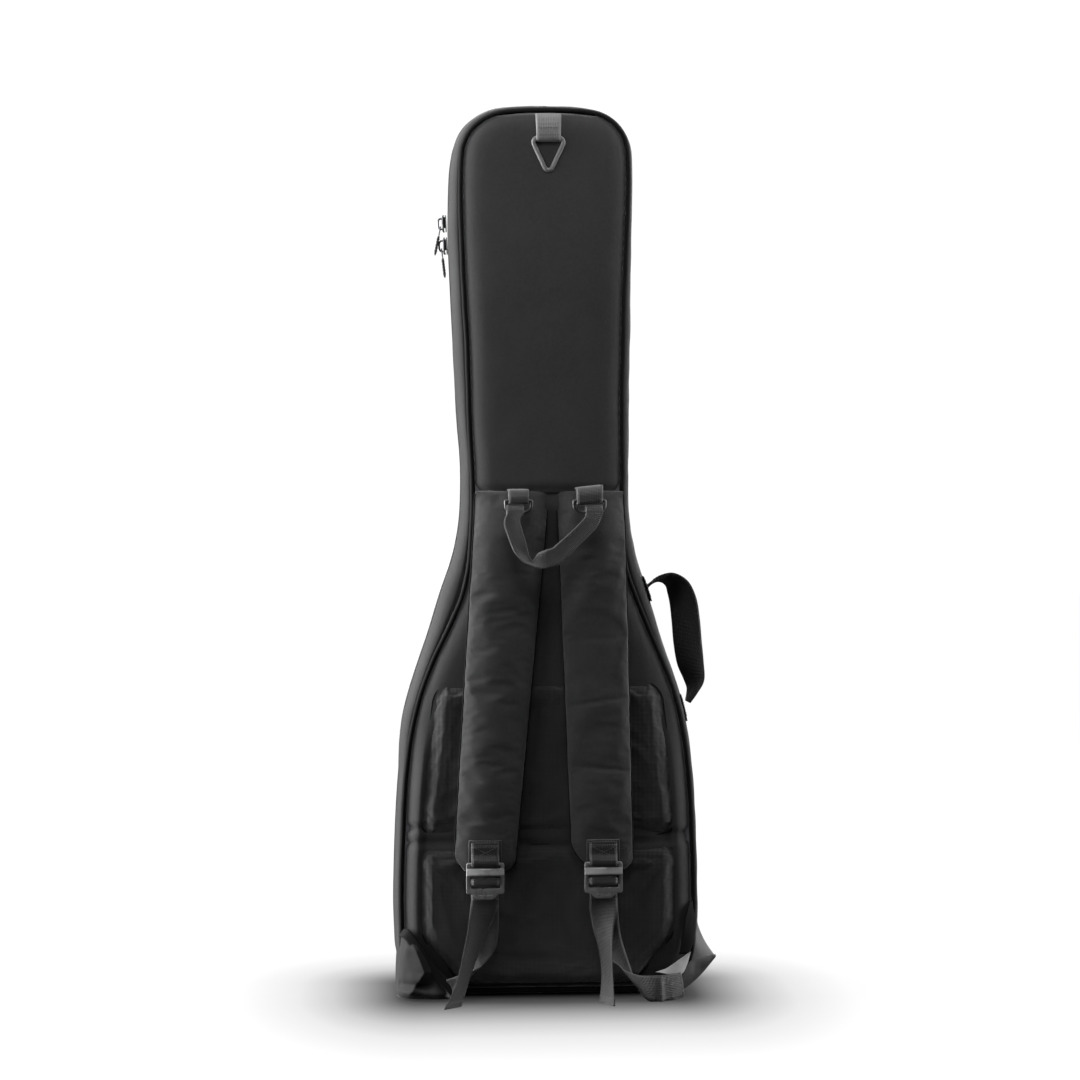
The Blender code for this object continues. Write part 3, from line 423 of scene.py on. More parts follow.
# ---- Materials ----------------------------------------------------------------------------------------------------
class Tree:
    """A material with the few nodes used here. Every socket that is set is the shader's own."""

    def __init__(self, name, rgb, roughness=0.8, **sockets):
        self.mat = bpy.data.materials.new(name)
        self.mat.use_nodes = True
        self.nodes, self.links = self.mat.node_tree.nodes, self.mat.node_tree.links
        self.shader = self.nodes["Principled BSDF"]
        self.set(Base_Color=(*rgb, 1), Roughness=roughness, **sockets)

    def set(self, **sockets):
        for key, value in sockets.items():
            self.shader.inputs[key.replace("_", " ")].default_value = value

    def join(self, output, key):
        self.links.new(output, self.shader.inputs[key])

    def coords(self, kind="Object"):
        return self.nodes.new("ShaderNodeTexCoord").outputs[kind]

    def split(self, vector):
        node = self.nodes.new("ShaderNodeSeparateXYZ")
        self.links.new(vector, node.inputs[0])
        return node.outputs

    def calc(self, operation, a, b=None, clamp=False):
        node = self.nodes.new("ShaderNodeMath")
        node.operation, node.use_clamp = operation, clamp
        for socket, value in zip(node.inputs, (a, b)):
            if isinstance(value, (int, float)):
                socket.default_value = value
            elif value is not None:
                self.links.new(value, socket)
        return node.outputs[0]

    def add(self, a, b, clamp=False):
        return self.calc("ADD", a, b, clamp)

    def times(self, a, b):
        return self.calc("MULTIPLY", a, b)

    def wave(self, value, k):
        return self.calc("SINE", self.times(value, k))

    def noise(self, vector, scale, detail=3.0, roughness=0.55):
        node = self.nodes.new("ShaderNodeTexNoise")
        for key, value in (("Scale", scale), ("Detail", detail), ("Roughness", roughness)):
            node.inputs[key].default_value = value
        self.links.new(vector, node.inputs["Vector"])
        return node.outputs["Fac"]

    def ramp(self, fac, stops):
        node = self.nodes.new("ShaderNodeValToRGB")
        self.links.new(fac, node.inputs["Fac"])
        ends = node.color_ramp.elements
        for end, (pos, rgb) in ((ends[0], stops[0]), (ends[1], stops[-1])):
            end.position, end.color = pos, (*rgb, 1)
        for pos, rgb in stops[1:-1]:
            ends.new(pos).color = (*rgb, 1)
        return node.outputs["Color"]

    def finish(self, colour, height, strength, distance):
        """Colour and relief, and the finished material."""
        node = self.nodes.new("ShaderNodeBump")
        node.inputs["Strength"].default_value, node.inputs["Distance"].default_value = strength, distance
        self.links.new(height, node.inputs["Height"])
        self.join(node.outputs["Normal"], "Normal")
        self.join(colour, "Base Color")
        return self.mat


def scaled(rgb, share):
    return [min(1, c * share) for c in rgb]


def woven(name, rgb, pitch=0.0011, depth=0.00016, roughness=0.82, sheen=0.35, variation=0.25, grain=0.5):
    """Woven cloth: crossing threads in relief, with slow changes of tone."""
    tree = Tree(name, rgb, roughness, Sheen_Weight=sheen, Sheen_Roughness=0.4, Specular_IOR_Level=0.25)
    coords = tree.coords()
    x, y, z = tree.split(coords)
    k = 2 * math.pi / pitch
    threads = tree.times(tree.wave(tree.add(x, y), k), tree.wave(z, k))
    fine, slow = tree.noise(coords, 900.0, 2.0), tree.noise(coords, 9.0, 4.0, 0.6)
    grainy = tree.noise(coords, 260.0, 3.0, 0.7)
    height = tree.add(tree.times(threads, 0.5), tree.times(tree.add(fine, grainy), grain))
    tone = tree.add(tree.times(slow, 0.55), tree.times(grainy, 0.45))
    stops = [(0.32, scaled(rgb, 1 - variation)), (0.5, rgb), (0.7, scaled(rgb, 1 + variation))]
    return tree.finish(tree.ramp(tone, stops), height, 0.6, depth)


def mesh_cloth(name, rgb, hole=0.003):
    """Knitted air mesh: a close pattern of round holes over a darker ground."""
    tree = Tree(name, rgb, 0.9, Sheen_Weight=0.35, Sheen_Roughness=0.5, Specular_IOR_Level=0.2)
    coords = tree.coords()
    u, _, v = tree.split(coords)
    k = 2 * math.pi / hole
    x, z = tree.times(u, k), tree.times(v, k)
    cells = tree.times(tree.calc("SINE", tree.add(x, z)), tree.calc("SINE", tree.calc("SUBTRACT", x, z)))
    tone = tree.add(tree.times(cells, 0.28), tree.noise(coords, 14.0, 3.0))
    stops = [(0.25, scaled(rgb, 0.62)), (0.5, rgb), (0.85, scaled(rgb, 1.35))]
    return tree.finish(tree.ramp(tone, stops), cells, 0.7, 0.0004)


def ribbed(name, rgb, pitch=0.0016, roughness=0.6, sheen=0.25, variation=0.2):
    """Webbing: ribs across its length from its UV map, in metres."""
    tree = Tree(name, rgb, roughness, Sheen_Weight=sheen, Sheen_Roughness=0.35, Specular_IOR_Level=0.35)
    u, v, _ = tree.split(tree.coords("UV"))
    k = 2 * math.pi / pitch
    ribs = tree.add(tree.wave(v, k), tree.times(tree.wave(u, k * 0.8), 0.6))
    tone = tree.add(tree.times(ribs, 0.08), tree.noise(tree.coords(), 60.0, 4.0, 0.65))
    stops = [(0.25, scaled(rgb, 1 - variation)), (0.5, rgb), (0.8, scaled(rgb, 1 + variation))]
    return tree.finish(tree.ramp(tone, stops), ribs, 0.6, 0.00022)


def moulded(name, rgb, roughness=0.35, metallic=0.0, wear=0.25, speck=0.00006, coat=0.0, gloss=0.5):
    """Moulded plastic, rubber or painted metal: fine surface grain and handling marks in its gloss."""
    tree = Tree(name, rgb, roughness, Metallic=metallic, Coat_Weight=coat, Specular_IOR_Level=gloss)
    coords = tree.coords()
    fine, slow = tree.noise(coords, 1400.0, 2.0), tree.noise(coords, 55.0, 5.0, 0.65)
    tree.join(tree.add(tree.times(slow, wear), roughness - wear / 2, clamp=True), "Roughness")
    return tree.finish(tree.ramp(slow, [(0.3, scaled(rgb, 0.85)), (0.75, scaled(rgb, 1.2))]), fine, 0.5, speck)


MATS = {
    "cover_fabric": woven("cover_fabric", (0.022, 0.022, 0.023), variation=0.22),
    "strap_fabric": woven("strap_fabric", (0.024, 0.024, 0.0245), variation=0.22),
    "gusset_fabric": woven("gusset_fabric", (0.0115, 0.0115, 0.0118), variation=0.2, sheen=0.14),
    "mesh_fabric": mesh_cloth("mesh_fabric", (0.016, 0.016, 0.0165)),
    "piping": moulded("piping", (0.004, 0.004, 0.004), roughness=0.8, wear=0.15, gloss=0.12),
    "wing_cloth": woven("wing_cloth", (0.0085, 0.0085, 0.0087), variation=0.25, sheen=0.12, grain=0.8),
    "webbing": ribbed("webbing", (0.012, 0.012, 0.0125), sheen=0.12),
    "webbing_light": ribbed("webbing_light", (0.034, 0.034, 0.035), sheen=0.2),
    # Painted highlight: a pale copy of the webbing, for where light catches it.
    "webbing_painted_highlight": ribbed("webbing_painted_highlight", (0.3, 0.3, 0.305)),
    "webbing_tab": ribbed("webbing_tab", (0.11, 0.11, 0.112)),
    "foam": moulded("foam", (0.09, 0.09, 0.1), roughness=0.9, wear=0.1, speck=0.0004),
    "lining": woven("lining", (0.11, 0.11, 0.12), pitch=0.0018, depth=0.0003, roughness=0.95, sheen=0.8, grain=1.4),
    "zipper": ribbed("zipper", (0.012, 0.012, 0.012), pitch=0.0012),
    "zip_teeth": moulded("zip_teeth", (0.012, 0.012, 0.013), roughness=0.35, wear=0.2),
    "zip_metal": moulded("zip_metal", (0.1, 0.1, 0.105), roughness=0.34, metallic=1.0),
    "buckle_plastic": moulded("buckle_plastic", (0.125, 0.125, 0.127), roughness=0.28, wear=0.15, coat=0.4),
    "ring_plastic": moulded("ring_plastic", (0.1, 0.1, 0.1), roughness=0.4),
    "ring_metal": moulded("ring_metal", (0.05, 0.05, 0.05), roughness=0.35, metallic=0.6),
    "base_rubber": moulded("base_rubber", (0.012, 0.012, 0.012), roughness=0.8, wear=0.15, speck=0.0002),
    "thread": moulded("thread", (0.01, 0.01, 0.01), roughness=0.7, wear=0.1),
    "thread_light": moulded("thread_light", (0.045, 0.045, 0.045), roughness=0.7, wear=0.1),
}


def dress(obj, mat, body=None, nodes=()):
    """Gives a piece its material and body, and hides the CAD nodes it stands for."""
    obj.data.materials.clear()
    obj.data.materials.append(MATS[mat])
    if body:
        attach(obj, body)
    if nodes:
        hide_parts(*nodes)
    return obj


for sub in frame["record"]["subparts"]:
    obj = NODES[sub["node"]]
    obj.data.materials.clear()
    obj.data.materials.append(MATS[sub["material_slot"]])
    obj.data.shade_smooth()
    obj.data.set_sharp_from_angle(angle=math.radians(35))


# ---- Camera, light and floor --------------------------------------------------------------------------------------
# name, place, aim, size, power in watts
LIGHTS = (
    ("left_back", (-2.2, 0.15, 0.9), (0, -0.05, 0.55), (0.7, 2.2), 200),
    ("left", (-2.2, -0.12, 0.9), (0, -0.05, 0.55), (0.7, 2.2), 60),
    ("left_front", (-2.2, -1.0, 0.9), (0, -0.15, 0.55), (0.9, 2.2), 30),
    ("right", (2.2, 0.05, 1.0), (0, 0, 0.5), (0.9, 2.0), 85),
    ("top", (0.2, 0.25, 3.0), (0, 0, 0.3), (1.8, 1.8), 40),
    ("top_front", (0.0, -1.1, 2.5), (0, 0, 0.9), (0.9, 0.9), 9),
    ("crown", (0.0, -0.55, 1.65), (0, -0.05, 0.9), (0.5, 0.3), 4.5),
    ("front", (-1.3, -3.2, 2.0), (0, 0, 0.5), (1.4, 1.4), 5),
    ("behind", (0.8, 2.6, 1.6), (0, 0, 0.5), (1.6, 1.6), 60),
)


def stage():
    """Camera at the back's angle, a white world, area lights and a floor that glows white away from the bag, its glow
    dimmed near the bag into a painted contact shadow.
    """
    target = Vector((-0.0093, BACK_Y, 0.534))
    azimuth, elevation, distance = math.radians(-4.0), math.radians(1.8), 3.2
    offset = Vector((math.sin(azimuth) * math.cos(elevation), -math.cos(azimuth) * math.cos(elevation),
                     math.sin(elevation))) * distance
    data = bpy.data.cameras.new("camera")
    data.sensor_width = 36.0
    data.lens = 36.0 * distance / 1.255
    data.clip_end = 50
    camera = link("camera", data)
    camera.location = target + offset
    camera.rotation_euler = (target - camera.location).to_track_quat("-Z", "Y").to_euler()
    bpy.context.scene.camera = camera

    bpy.context.scene.view_settings.view_transform = "Standard"
    world = bpy.data.worlds.new("studio")
    bpy.context.scene.world = world
    world.use_nodes = True
    nodes, links = world.node_tree.nodes, world.node_tree.links
    mix = nodes.new("ShaderNodeMixShader")
    links.new(nodes.new("ShaderNodeLightPath").outputs["Is Camera Ray"], mix.inputs[0])
    for k, (node, strength) in enumerate(((nodes["Background"], 0.05), (nodes.new("ShaderNodeBackground"), 1.05))):
        node.inputs["Color"].default_value = (1, 1, 1, 1)
        node.inputs["Strength"].default_value = strength
        links.new(node.outputs[0], mix.inputs[1 + k])
    links.new(mix.outputs[0], nodes["World Output"].inputs["Surface"])

    for name, place, aim, size, power in LIGHTS:
        light = bpy.data.lights.new(name, "AREA")
        light.shape = "RECTANGLE"
        light.size, light.size_y = size
        light.energy = power
        made = link(name, light)
        made.visible_camera = False
        made.location = place
        made.rotation_euler = (Vector(aim) - Vector(place)).to_track_quat("-Z", "Y").to_euler()

    shape = bmesh.new()
    bmesh.ops.create_grid(shape, x_segments=2, y_segments=2, size=9.0)
    mesh = bpy.data.meshes.new("floor")
    shape.to_mesh(mesh)
    shape.free()
    floor = link("floor", mesh)
    tree = Tree("floor", (0.02, 0.02, 0.02), 0.9, Specular_IOR_Level=0.0, Emission_Strength=1.0)
    x, y, _ = tree.split(tree.coords())

    def past(value, edge, scale=1.0):
        """The square of how far a point is past an edge."""
        far = tree.times(tree.calc("MAXIMUM", tree.calc("SUBTRACT", value, edge), 0.0), scale)
        return tree.times(far, far)

    # Painted contact shadow: the floor's glow is dark at the bag's footprint and rises to white with distance from it.
    side, front = past(tree.calc("ABSOLUTE", x), 0.15), past(tree.times(y, -1.0), 0.04, 0.62)
    far = tree.calc("SQRT", tree.add(tree.add(side, front), past(y, 0.045)))
    painted_shadow_greys = ((0.0, 0.012), (0.08, 0.07), (0.19, 0.3), (0.33, 0.6), (0.47, 0.8), (0.7, 0.95), (1.0, 1.0))
    tree.join(tree.ramp(tree.times(far, 1 / 0.3), [(at, (grey,) * 3) for at, grey in painted_shadow_greys]), "Emission Color")
    mesh.materials.append(tree.mat)
    floor.visible_diffuse = floor.visible_glossy = False


stage()


# ---- Shell: gussets, panels, piping and zips ----------------------------------------------------------------------
BULGE = bulge(EDGE[:, 0], EDGE[:, 1])
ZIP_SEAT = BULGE * 0.96
CLOTH, COVER = 0.0014, 0.0016
WEBBING_HALF = 0.016


def wall_line(outset=0.0):
    """The gusset's outer face in (x, z), moved out by an amount."""
    return EDGE + NORMAL * (BULGE + outset)[:, None]


def ring_points(offset, y):
    """The outline moved out by offset (one number or one per sample) at depth y."""
    return upright(EDGE + NORMAL * np.broadcast_to(offset, (LOOP,))[:, None], y)


def wall_relief(y):
    """Soft folds of the gusset's cloth at depth y, as an outset per sample."""
    pts = ring_points(0.0, y)
    folds = rough(pts, (0.03, 0.06, 0.035), 3.1, 2)
    broad = rough(pts, (0.1, 0.2, 0.12), 7.7, 2)
    return 0.0006 * folds + 0.001 * broad


def gusset():
    """The deep side wall, from the back piping to the zip, in two lengths with a seam at the top and the base."""
    ys = np.array([-0.0415, -0.0405, -0.0385, -0.035, -0.03, -0.023, -0.015, -0.006, 0.002, 0.007, 0.0092, 0.01])
    share = np.array([0.1, 0.42, 0.66, 0.84, 0.95, 1.03, 1.08, 1.08, 1.03, 0.99, 0.96, 0.94])
    rows = []
    for y, k in zip(ys, share):
        swell = BULGE * k if k < 1 else BULGE + 0.006 * (k - 1) * 4
        quiet = min(1.0, max(0.0, (k - 0.5) * 2)) * (1 - ramp(y, 0.004, 0.01))
        rows.append(ring_points(swell + wall_relief(y) * quiet, y))
    pts = np.array(rows).transpose(1, 0, 2)
    pts[:, :, 2] = np.maximum(pts[:, :, 2], 0.0008)
    top = LOOP // 2
    for side, idx in (("right", np.arange(0, top + 1)), ("left", np.arange(top, LOOP + 1) % LOOP)):
        made = solidify(tidy(grid(f"gusset_cloth_{side}", pts[idx])), CLOTH)
        dress(made, "gusset_fabric", "bag", nodes=[f"gusset_{side}"])


def lid_gusset():
    """The narrow side wall of the lid, from the zip to the front piping."""
    ys = np.array([0.03, 0.0308, 0.033, 0.036, 0.0385, 0.0405, 0.0415])
    share = np.array([0.94, 0.97, 0.99, 0.92, 0.74, 0.42, 0.1])
    pts = np.array([ring_points(BULGE * k, y) for y, k in zip(ys, share)]).transpose(1, 0, 2)
    dress(solidify(tidy(grid("lid_gusset_cloth", pts, closed_u=True)), CLOTH), "gusset_fabric", "lid")


def in_hinge(pad=0.0):
    """Which samples of the outline are on the fabric hinge."""
    return (EDGE[:, 0] > 0.1) & (EDGE[:, 1] > HINGE_Z[0] - pad) & (EDGE[:, 1] < HINGE_Z[1] + pad)


def zip_indices():
    """Samples with a zip, in order from the top of the fabric hinge round to its bottom."""
    hinge = np.where(in_hinge())[0]
    start = hinge.max() + 1
    return np.arange(start, start + LOOP - len(hinge)) % LOOP


def main_zip():
    """The main zip: a tape, teeth and a row of stitches on each side of the split."""
    idx = zip_indices()
    for body, sign, node in (("bag", -1, "zipper_track_bag"), ("lid", 1, "zipper_track_lid")):
        ys = SPLIT_Y + sign * np.array([0.0115, 0.0108, 0.008, 0.005, 0.0028, 0.0012])
        lift = np.array([0.0001, 0.0012, 0.001, 0.0007, 0.0006, 0.0006])
        pts = np.array([ring_points(ZIP_SEAT + h, y) for y, h in zip(ys, lift)]).transpose(1, 0, 2)[idx]
        pts[:, :, 2] = np.maximum(pts[:, :, 2], 0.0005)
        length = np.arange(len(idx)) * 0.0042
        uv = np.stack(np.meshgrid(length, ys, indexing="ij"), axis=-1)[..., ::-1]
        dress(solidify(tidy(grid(f"zip_tape_{body}", pts, uv=uv)), 0.0009, 0), "zipper", body, nodes=[node])
        path = ring_points(ZIP_SEAT + 0.0013, SPLIT_Y + sign * 0.0008)[idx]
        path[:, 2] = np.maximum(path[:, 2], 0.0014)
        teeth(f"zip_teeth_{body}", path, sign, body, 0.0032, 0.0016 if sign > 0 else 0.0)
        line = ring_points(ZIP_SEAT + 0.0014, SPLIT_Y + sign * 0.0092)[idx]
        line[:, 2] = np.maximum(line[:, 2], 0.0008)
        dress(stitches(f"zip_stitches_{body}", line), "thread_light", body)


def teeth(name, path, sign, body, pitch, start, across=(0, 1, 0), half=(0.00062, 0.0021, 0.0009)):
    """Moulded zip teeth: a small block at each step along the path, standing across it."""
    path = np.asarray(path, float)
    s = lengths(path)
    at = np.arange(start, s[-1], pitch)
    pos = sample(path, s, at)
    tangent = sample(path, s, at + 0.002) - sample(path, s, at - 0.002)
    tangent /= np.linalg.norm(tangent, axis=1)[:, None] + 1e-12
    side = np.broadcast_to(np.asarray(across, float), tangent.shape)
    top = np.cross(tangent, side)
    verts, faces = [], []
    quads = ((0, 1, 3, 2), (4, 6, 7, 5), (0, 4, 5, 1), (2, 3, 7, 6), (0, 2, 6, 4), (1, 5, 7, 3))
    for p, t, w, n in zip(pos, tangent, side, top):
        base = len(verts)
        for a in (-1, 1):
            for b in (-1, 1):
                for c in (-1, 1):
                    slim = 0.8 if c > 0 else 1.0
                    verts.append(p + t * a * half[0] * slim + w * (b * half[1] + sign * 0.0006)
                                 + n * c * half[2] * slim)
        faces += [tuple(base + q for q in quad) for quad in quads]
    return dress(tidy(add_mesh(name, verts, faces, smooth=False)), "zip_teeth", body)


def fabric_hinge():
    """The strip of cloth with no zip that the lid turns on."""
    idx = np.where(in_hinge(0.012))[0]
    ys = np.linspace(SPLIT_Y - 0.0118, SPLIT_Y + 0.0118, 13)
    pts = np.array([ring_points(ZIP_SEAT + 0.0017, y) for y in ys]).transpose(1, 0, 2)[idx]
    made = bake_mods(solidify(tidy(grid("fabric_hinge", pts)), 0.001))
    dress(made, "gusset_fabric")
    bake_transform(made)


def piping():
    """The covered cord in the seam round the back and round the front."""
    for name, y, body, node in (("piping_back", BACK_Y + 0.0034, "bag", "back_piping"),
                                ("piping_front", FRONT_Y - 0.0034, "lid", "front_piping")):
        wander = rough(ring_points(0, y), 0.05, 1.3, 2) * 0.0005
        made = tube(name, ring_points(wander, y), 0.0029, closed=True)
        dress(made, "piping", body, nodes=[node])


def panel_points(z0, z1, inset, count, across, top_end=False):
    """A grid over the panel between two heights: rows up, columns across. A top end is slightly crowned."""
    z = z0 + (z1 - z0) * np.linspace(0, 1, count)
    left, right = panel_sides(z, inset)
    u = np.linspace(-1, 1, across)
    u = np.sign(u) * (1 - (1 - np.abs(u)) ** 1.25)
    x = (left + right)[:, None] / 2 + (right - left)[:, None] / 2 * u[None]
    zz = np.repeat(z[:, None], across, 1)
    if top_end:
        crown = 0.0029 * (1 - np.clip(np.abs(x) / 0.052, 0, 1) ** 2)
        zz = zz + crown * ramp(zz, z1 - 0.04, z1)
    return x, zz


def back_panels():
    """The cover of the back in two pieces, padded and crowned, dipping to its stitched edge."""
    for name, z0, z1, node in (("back_cover_upper", SEAM_Z - 0.002, 1.0252, "back_panel_upper"),
                               ("back_cover_lower", 0.0112, SEAM_Z + 0.001, "back_panel_lower")):
        upper = "upper" in name
        x, z = panel_points(z0, z1, 0.0022, 150, 71, top_end=upper)
        d = edge_distance(x, z, 0.0022)
        reach = 0.0098 + 0.006 * (1 - ramp(z, 0.1, 0.34))
        puff = 0.0082 * (1 - np.exp(-((d / reach) ** 1.05))) + 0.0008 * ramp(d, 0.01, 0.08)
        pts = flat_points(x, z)
        soft = rough(pts, (0.11, 1, 0.16), 2.2, 2) * 0.0008 + rough(pts, (0.022, 1, 0.03), 5.0, 2) * 0.00018
        y = BACK_Y + 0.003 - puff - soft * ramp(d, 0.0, 0.02)
        if upper:
            y = y + 0.003 * np.exp(-((z - SEAM_Z) / 0.006) ** 2)
        else:
            crease = np.exp(-(((z - 0.196 - 0.004 * np.sin(x * 31)) / 0.0035) ** 2)) * ramp(np.abs(x), 0.1, 0.135)
            crease += 0.7 * np.exp(-(((z - 0.181 + 0.003 * np.sin(x * 23 + 1)) / 0.004) ** 2))
            ridge = (ramp(d, 0.001, 0.017) * (1 - ramp(d, 0.0175, 0.0225))
                     * (1 - ramp(z, 0.24, 0.34)) * ramp(z, 0.03, 0.07))
            y = y - 0.004 * ridge * (0.75 + 0.25 * ramp(-x, 0.0, 0.02))
            y = y + 0.0034 * crease * ramp(d, 0.0, 0.006) + 0.0035 * ramp(z, SEAM_Z - 0.02, SEAM_Z)
        made = solidify(face_out(tidy(grid(name, np.stack([x, y, z], axis=-1))), (0, -1, 0)), COVER)
        dress(made, "cover_fabric", "bag", nodes=[node])


def face_out(obj, direction):
    """Flips an open sheet so that its front looks along the direction."""
    total = Vector((0, 0, 0))
    for p in obj.data.polygons:
        total += p.normal * p.area
    if total.dot(Vector(direction)) < 0:
        obj.data.flip_normals()
    return obj


def front_panel():
    """The cover of the front, lightly padded."""
    x, z = panel_points(0.0112, 1.0252, 0.0022, 220, 61, top_end=True)
    d = edge_distance(x, z, 0.0022)
    pts = flat_points(x, z)
    puff = 0.005 * (1 - np.exp(-d / 0.0095))
    soft = rough(pts, (0.11, 1, 0.16), 12.2, 2) * 0.0007
    y = FRONT_Y - 0.0035 + puff + soft * ramp(d, 0.0, 0.02)
    made = solidify(face_out(tidy(grid("front_cover", np.stack([x, y, z], axis=-1))), (0, 1, 0)), COVER)
    dress(made, "cover_fabric", "lid", nodes=["front_panel"])


gusset()
lid_gusset()
main_zip()
fabric_hinge()
piping()
back_panels()
front_panel()


# ---- Padding ------------------------------------------------------------------------------------------------------
def inflate(obj, pinned, pressure, cap, grow, steps):
    """Fills a padded piece out as cloth under pressure, held at its pinned vertices, and keeps the result."""
    group = obj.vertex_groups.new(name="sewn")
    group.add([int(i) for i in pinned], 1.0, "REPLACE")
    before = get_points(obj)
    mod = obj.modifiers.new("Cloth", "CLOTH")
    cloth = mod.settings
    cloth.quality = 4
    cloth.mass = 0.25
    cloth.tension_stiffness = cloth.compression_stiffness = 18
    cloth.shear_stiffness = 8
    cloth.bending_stiffness = 0.6
    cloth.use_pressure = True
    cloth.uniform_pressure_force = pressure
    cloth.vertex_group_mass = "sewn"
    cloth.shrink_min = -grow
    cloth.effector_weights.gravity = 0
    mod.collision_settings.use_collision = False
    scene = bpy.context.scene
    for f in range(1, steps + 1):
        scene.frame_set(f)
    after = get_points(obj.evaluated_get(bpy.context.evaluated_depsgraph_get()))
    obj.modifiers.remove(mod)
    obj.vertex_groups.clear()
    scene.frame_set(1)
    move = after - before
    far = np.linalg.norm(move, axis=1)[:, None] + 1e-12
    set_points(obj, before + move * np.minimum(1, cap / far))
    obj.data.update()
    return obj


def rounded_outline(corners, steps=12):
    """A closed outline with round corners, from (u, v, radius) corners listed anticlockwise."""
    found = []
    for i, (u, v, radius) in enumerate(corners):
        here = np.array((u, v), float)
        before = np.array(corners[i - 1][:2]) - here
        after = np.array(corners[(i + 1) % len(corners)][:2]) - here
        before, after = before / np.linalg.norm(before), after / np.linalg.norm(after)
        half = math.acos(float(np.clip(before @ after, -1, 1))) / 2
        reach = radius / math.tan(half)
        mid = before + after
        centre = here + mid / np.linalg.norm(mid) * (radius / math.sin(half))
        a, b = here + before * reach - centre, here + after * reach - centre
        sweep = math.acos(float(np.clip(a @ b / (np.linalg.norm(a) * np.linalg.norm(b)), -1, 1)))
        for k in range(steps + 1):
            t = sweep * k / steps
            found.append(centre + (math.sin(sweep - t) * a + math.sin(t) * b) / math.sin(sweep))
    return np.array(found)


def rectangle(x0, x1, z0, z1, radius, steps):
    return rounded_outline([(x0, z0, radius), (x1, z0, radius), (x1, z1, radius), (x0, z1, radius)], steps)


def eased_outline(corners):
    """A closed outline from (u, v, reach) corners, inner ones too, each rounded over its reach."""
    found = []
    for i, (u, v, reach) in enumerate(corners):
        here = np.array((u, v))
        before = np.array(corners[i - 1][:2]) - here
        after = np.array(corners[(i + 1) % len(corners)][:2]) - here
        a, b = here + before / np.linalg.norm(before) * reach, here + after / np.linalg.norm(after) * reach
        for t in (k / 6 for k in range(7)):
            found.append((1 - t) ** 2 * a + 2 * t * (1 - t) * here + t * t * b)
    return found


def spans(outline, z):
    """The least and greatest x of a closed outline at each height."""
    a, b = outline, np.roll(outline, -1, 0)
    low, high = np.full(len(z), 9.0), np.full(len(z), -9.0)
    for (x0, z0), (x1, z1) in zip(a, b):
        lo, hi = min(z0, z1), max(z0, z1)
        hit = (z >= lo) & (z <= hi)
        x = np.full(hit.sum(), x0) if hi - lo < 1e-9 else x0 + (x1 - x0) * (z[hit] - z0) / (z1 - z0)
        low[hit] = np.minimum(low[hit], x)
        high[hit] = np.maximum(high[hit], x)
        if hi - lo < 1e-9:
            near = np.abs(z - z0) < 1e-6
            low[near] = np.minimum(low[near], min(x0, x1))
            high[near] = np.maximum(high[near], max(x0, x1))
    return low, high


def outline_distance(outline, x, z):
    a, b = outline, np.roll(outline, -1, 0)
    best = np.full(x.shape, 9.0)
    for (x0, z0), (x1, z1) in zip(a, b):
        dx, dz = x1 - x0, z1 - z0
        t = np.clip(((x - x0) * dx + (z - z0) * dz) / (dx * dx + dz * dz + 1e-15), 0, 1)
        best = np.minimum(best, (x - x0 - t * dx) ** 2 + (z - z0 - t * dz) ** 2)
    return np.sqrt(best)


def padded_plate(name, outline, rows, cols, surface, base):
    """A padded form on a closed outline: a front over surface(x, z, distance) -> y, and a flat back at base.
    Gives the object and the indices of its back and rim."""
    lo, hi = outline[:, 1].min(), outline[:, 1].max()
    t = (1 - np.cos(np.pi * np.linspace(0, 1, rows))) / 2
    t = 0.5 * t + 0.5 * np.linspace(0, 1, rows)
    z = lo + (hi - lo) * t
    z[0], z[-1] = lo + 1e-6, hi - 1e-6
    low, high = spans(outline, z)
    u = np.linspace(-1, 1, cols)
    u = 0.6 * np.sin(np.pi * u / 2) + 0.4 * u
    x = (low + high)[:, None] / 2 + (high - low)[:, None] / 2 * u[None]
    zz = np.repeat(z[:, None], cols, 1)
    d = outline_distance(outline, x, zz)
    y = surface(x, zz, d)
    front = np.stack([x, y, zz], axis=-1).reshape(-1, 3)
    back = np.stack([x, np.full_like(x, base), zz], axis=-1).reshape(-1, 3)
    count = rows * cols
    faces = []
    for i in range(rows - 1):
        for j in range(cols - 1):
            q = (i * cols + j, i * cols + j + 1, (i + 1) * cols + j + 1, (i + 1) * cols + j)
            faces.append(q)
            faces.append(tuple(count + k for k in q[::-1]))
    rim = [j for j in range(cols)] + [i * cols + cols - 1 for i in range(1, rows)]
    rim += [(rows - 1) * cols + j for j in range(cols - 2, -1, -1)] + [i * cols for i in range(rows - 2, 0, -1)]
    for a, b in zip(rim, rim[1:] + rim[:1]):
        faces.append((a, count + a, count + b, b))
    made = tidy(add_mesh(name, np.vstack([front, back]), faces))
    return made, rim + list(range(count, 2 * count))


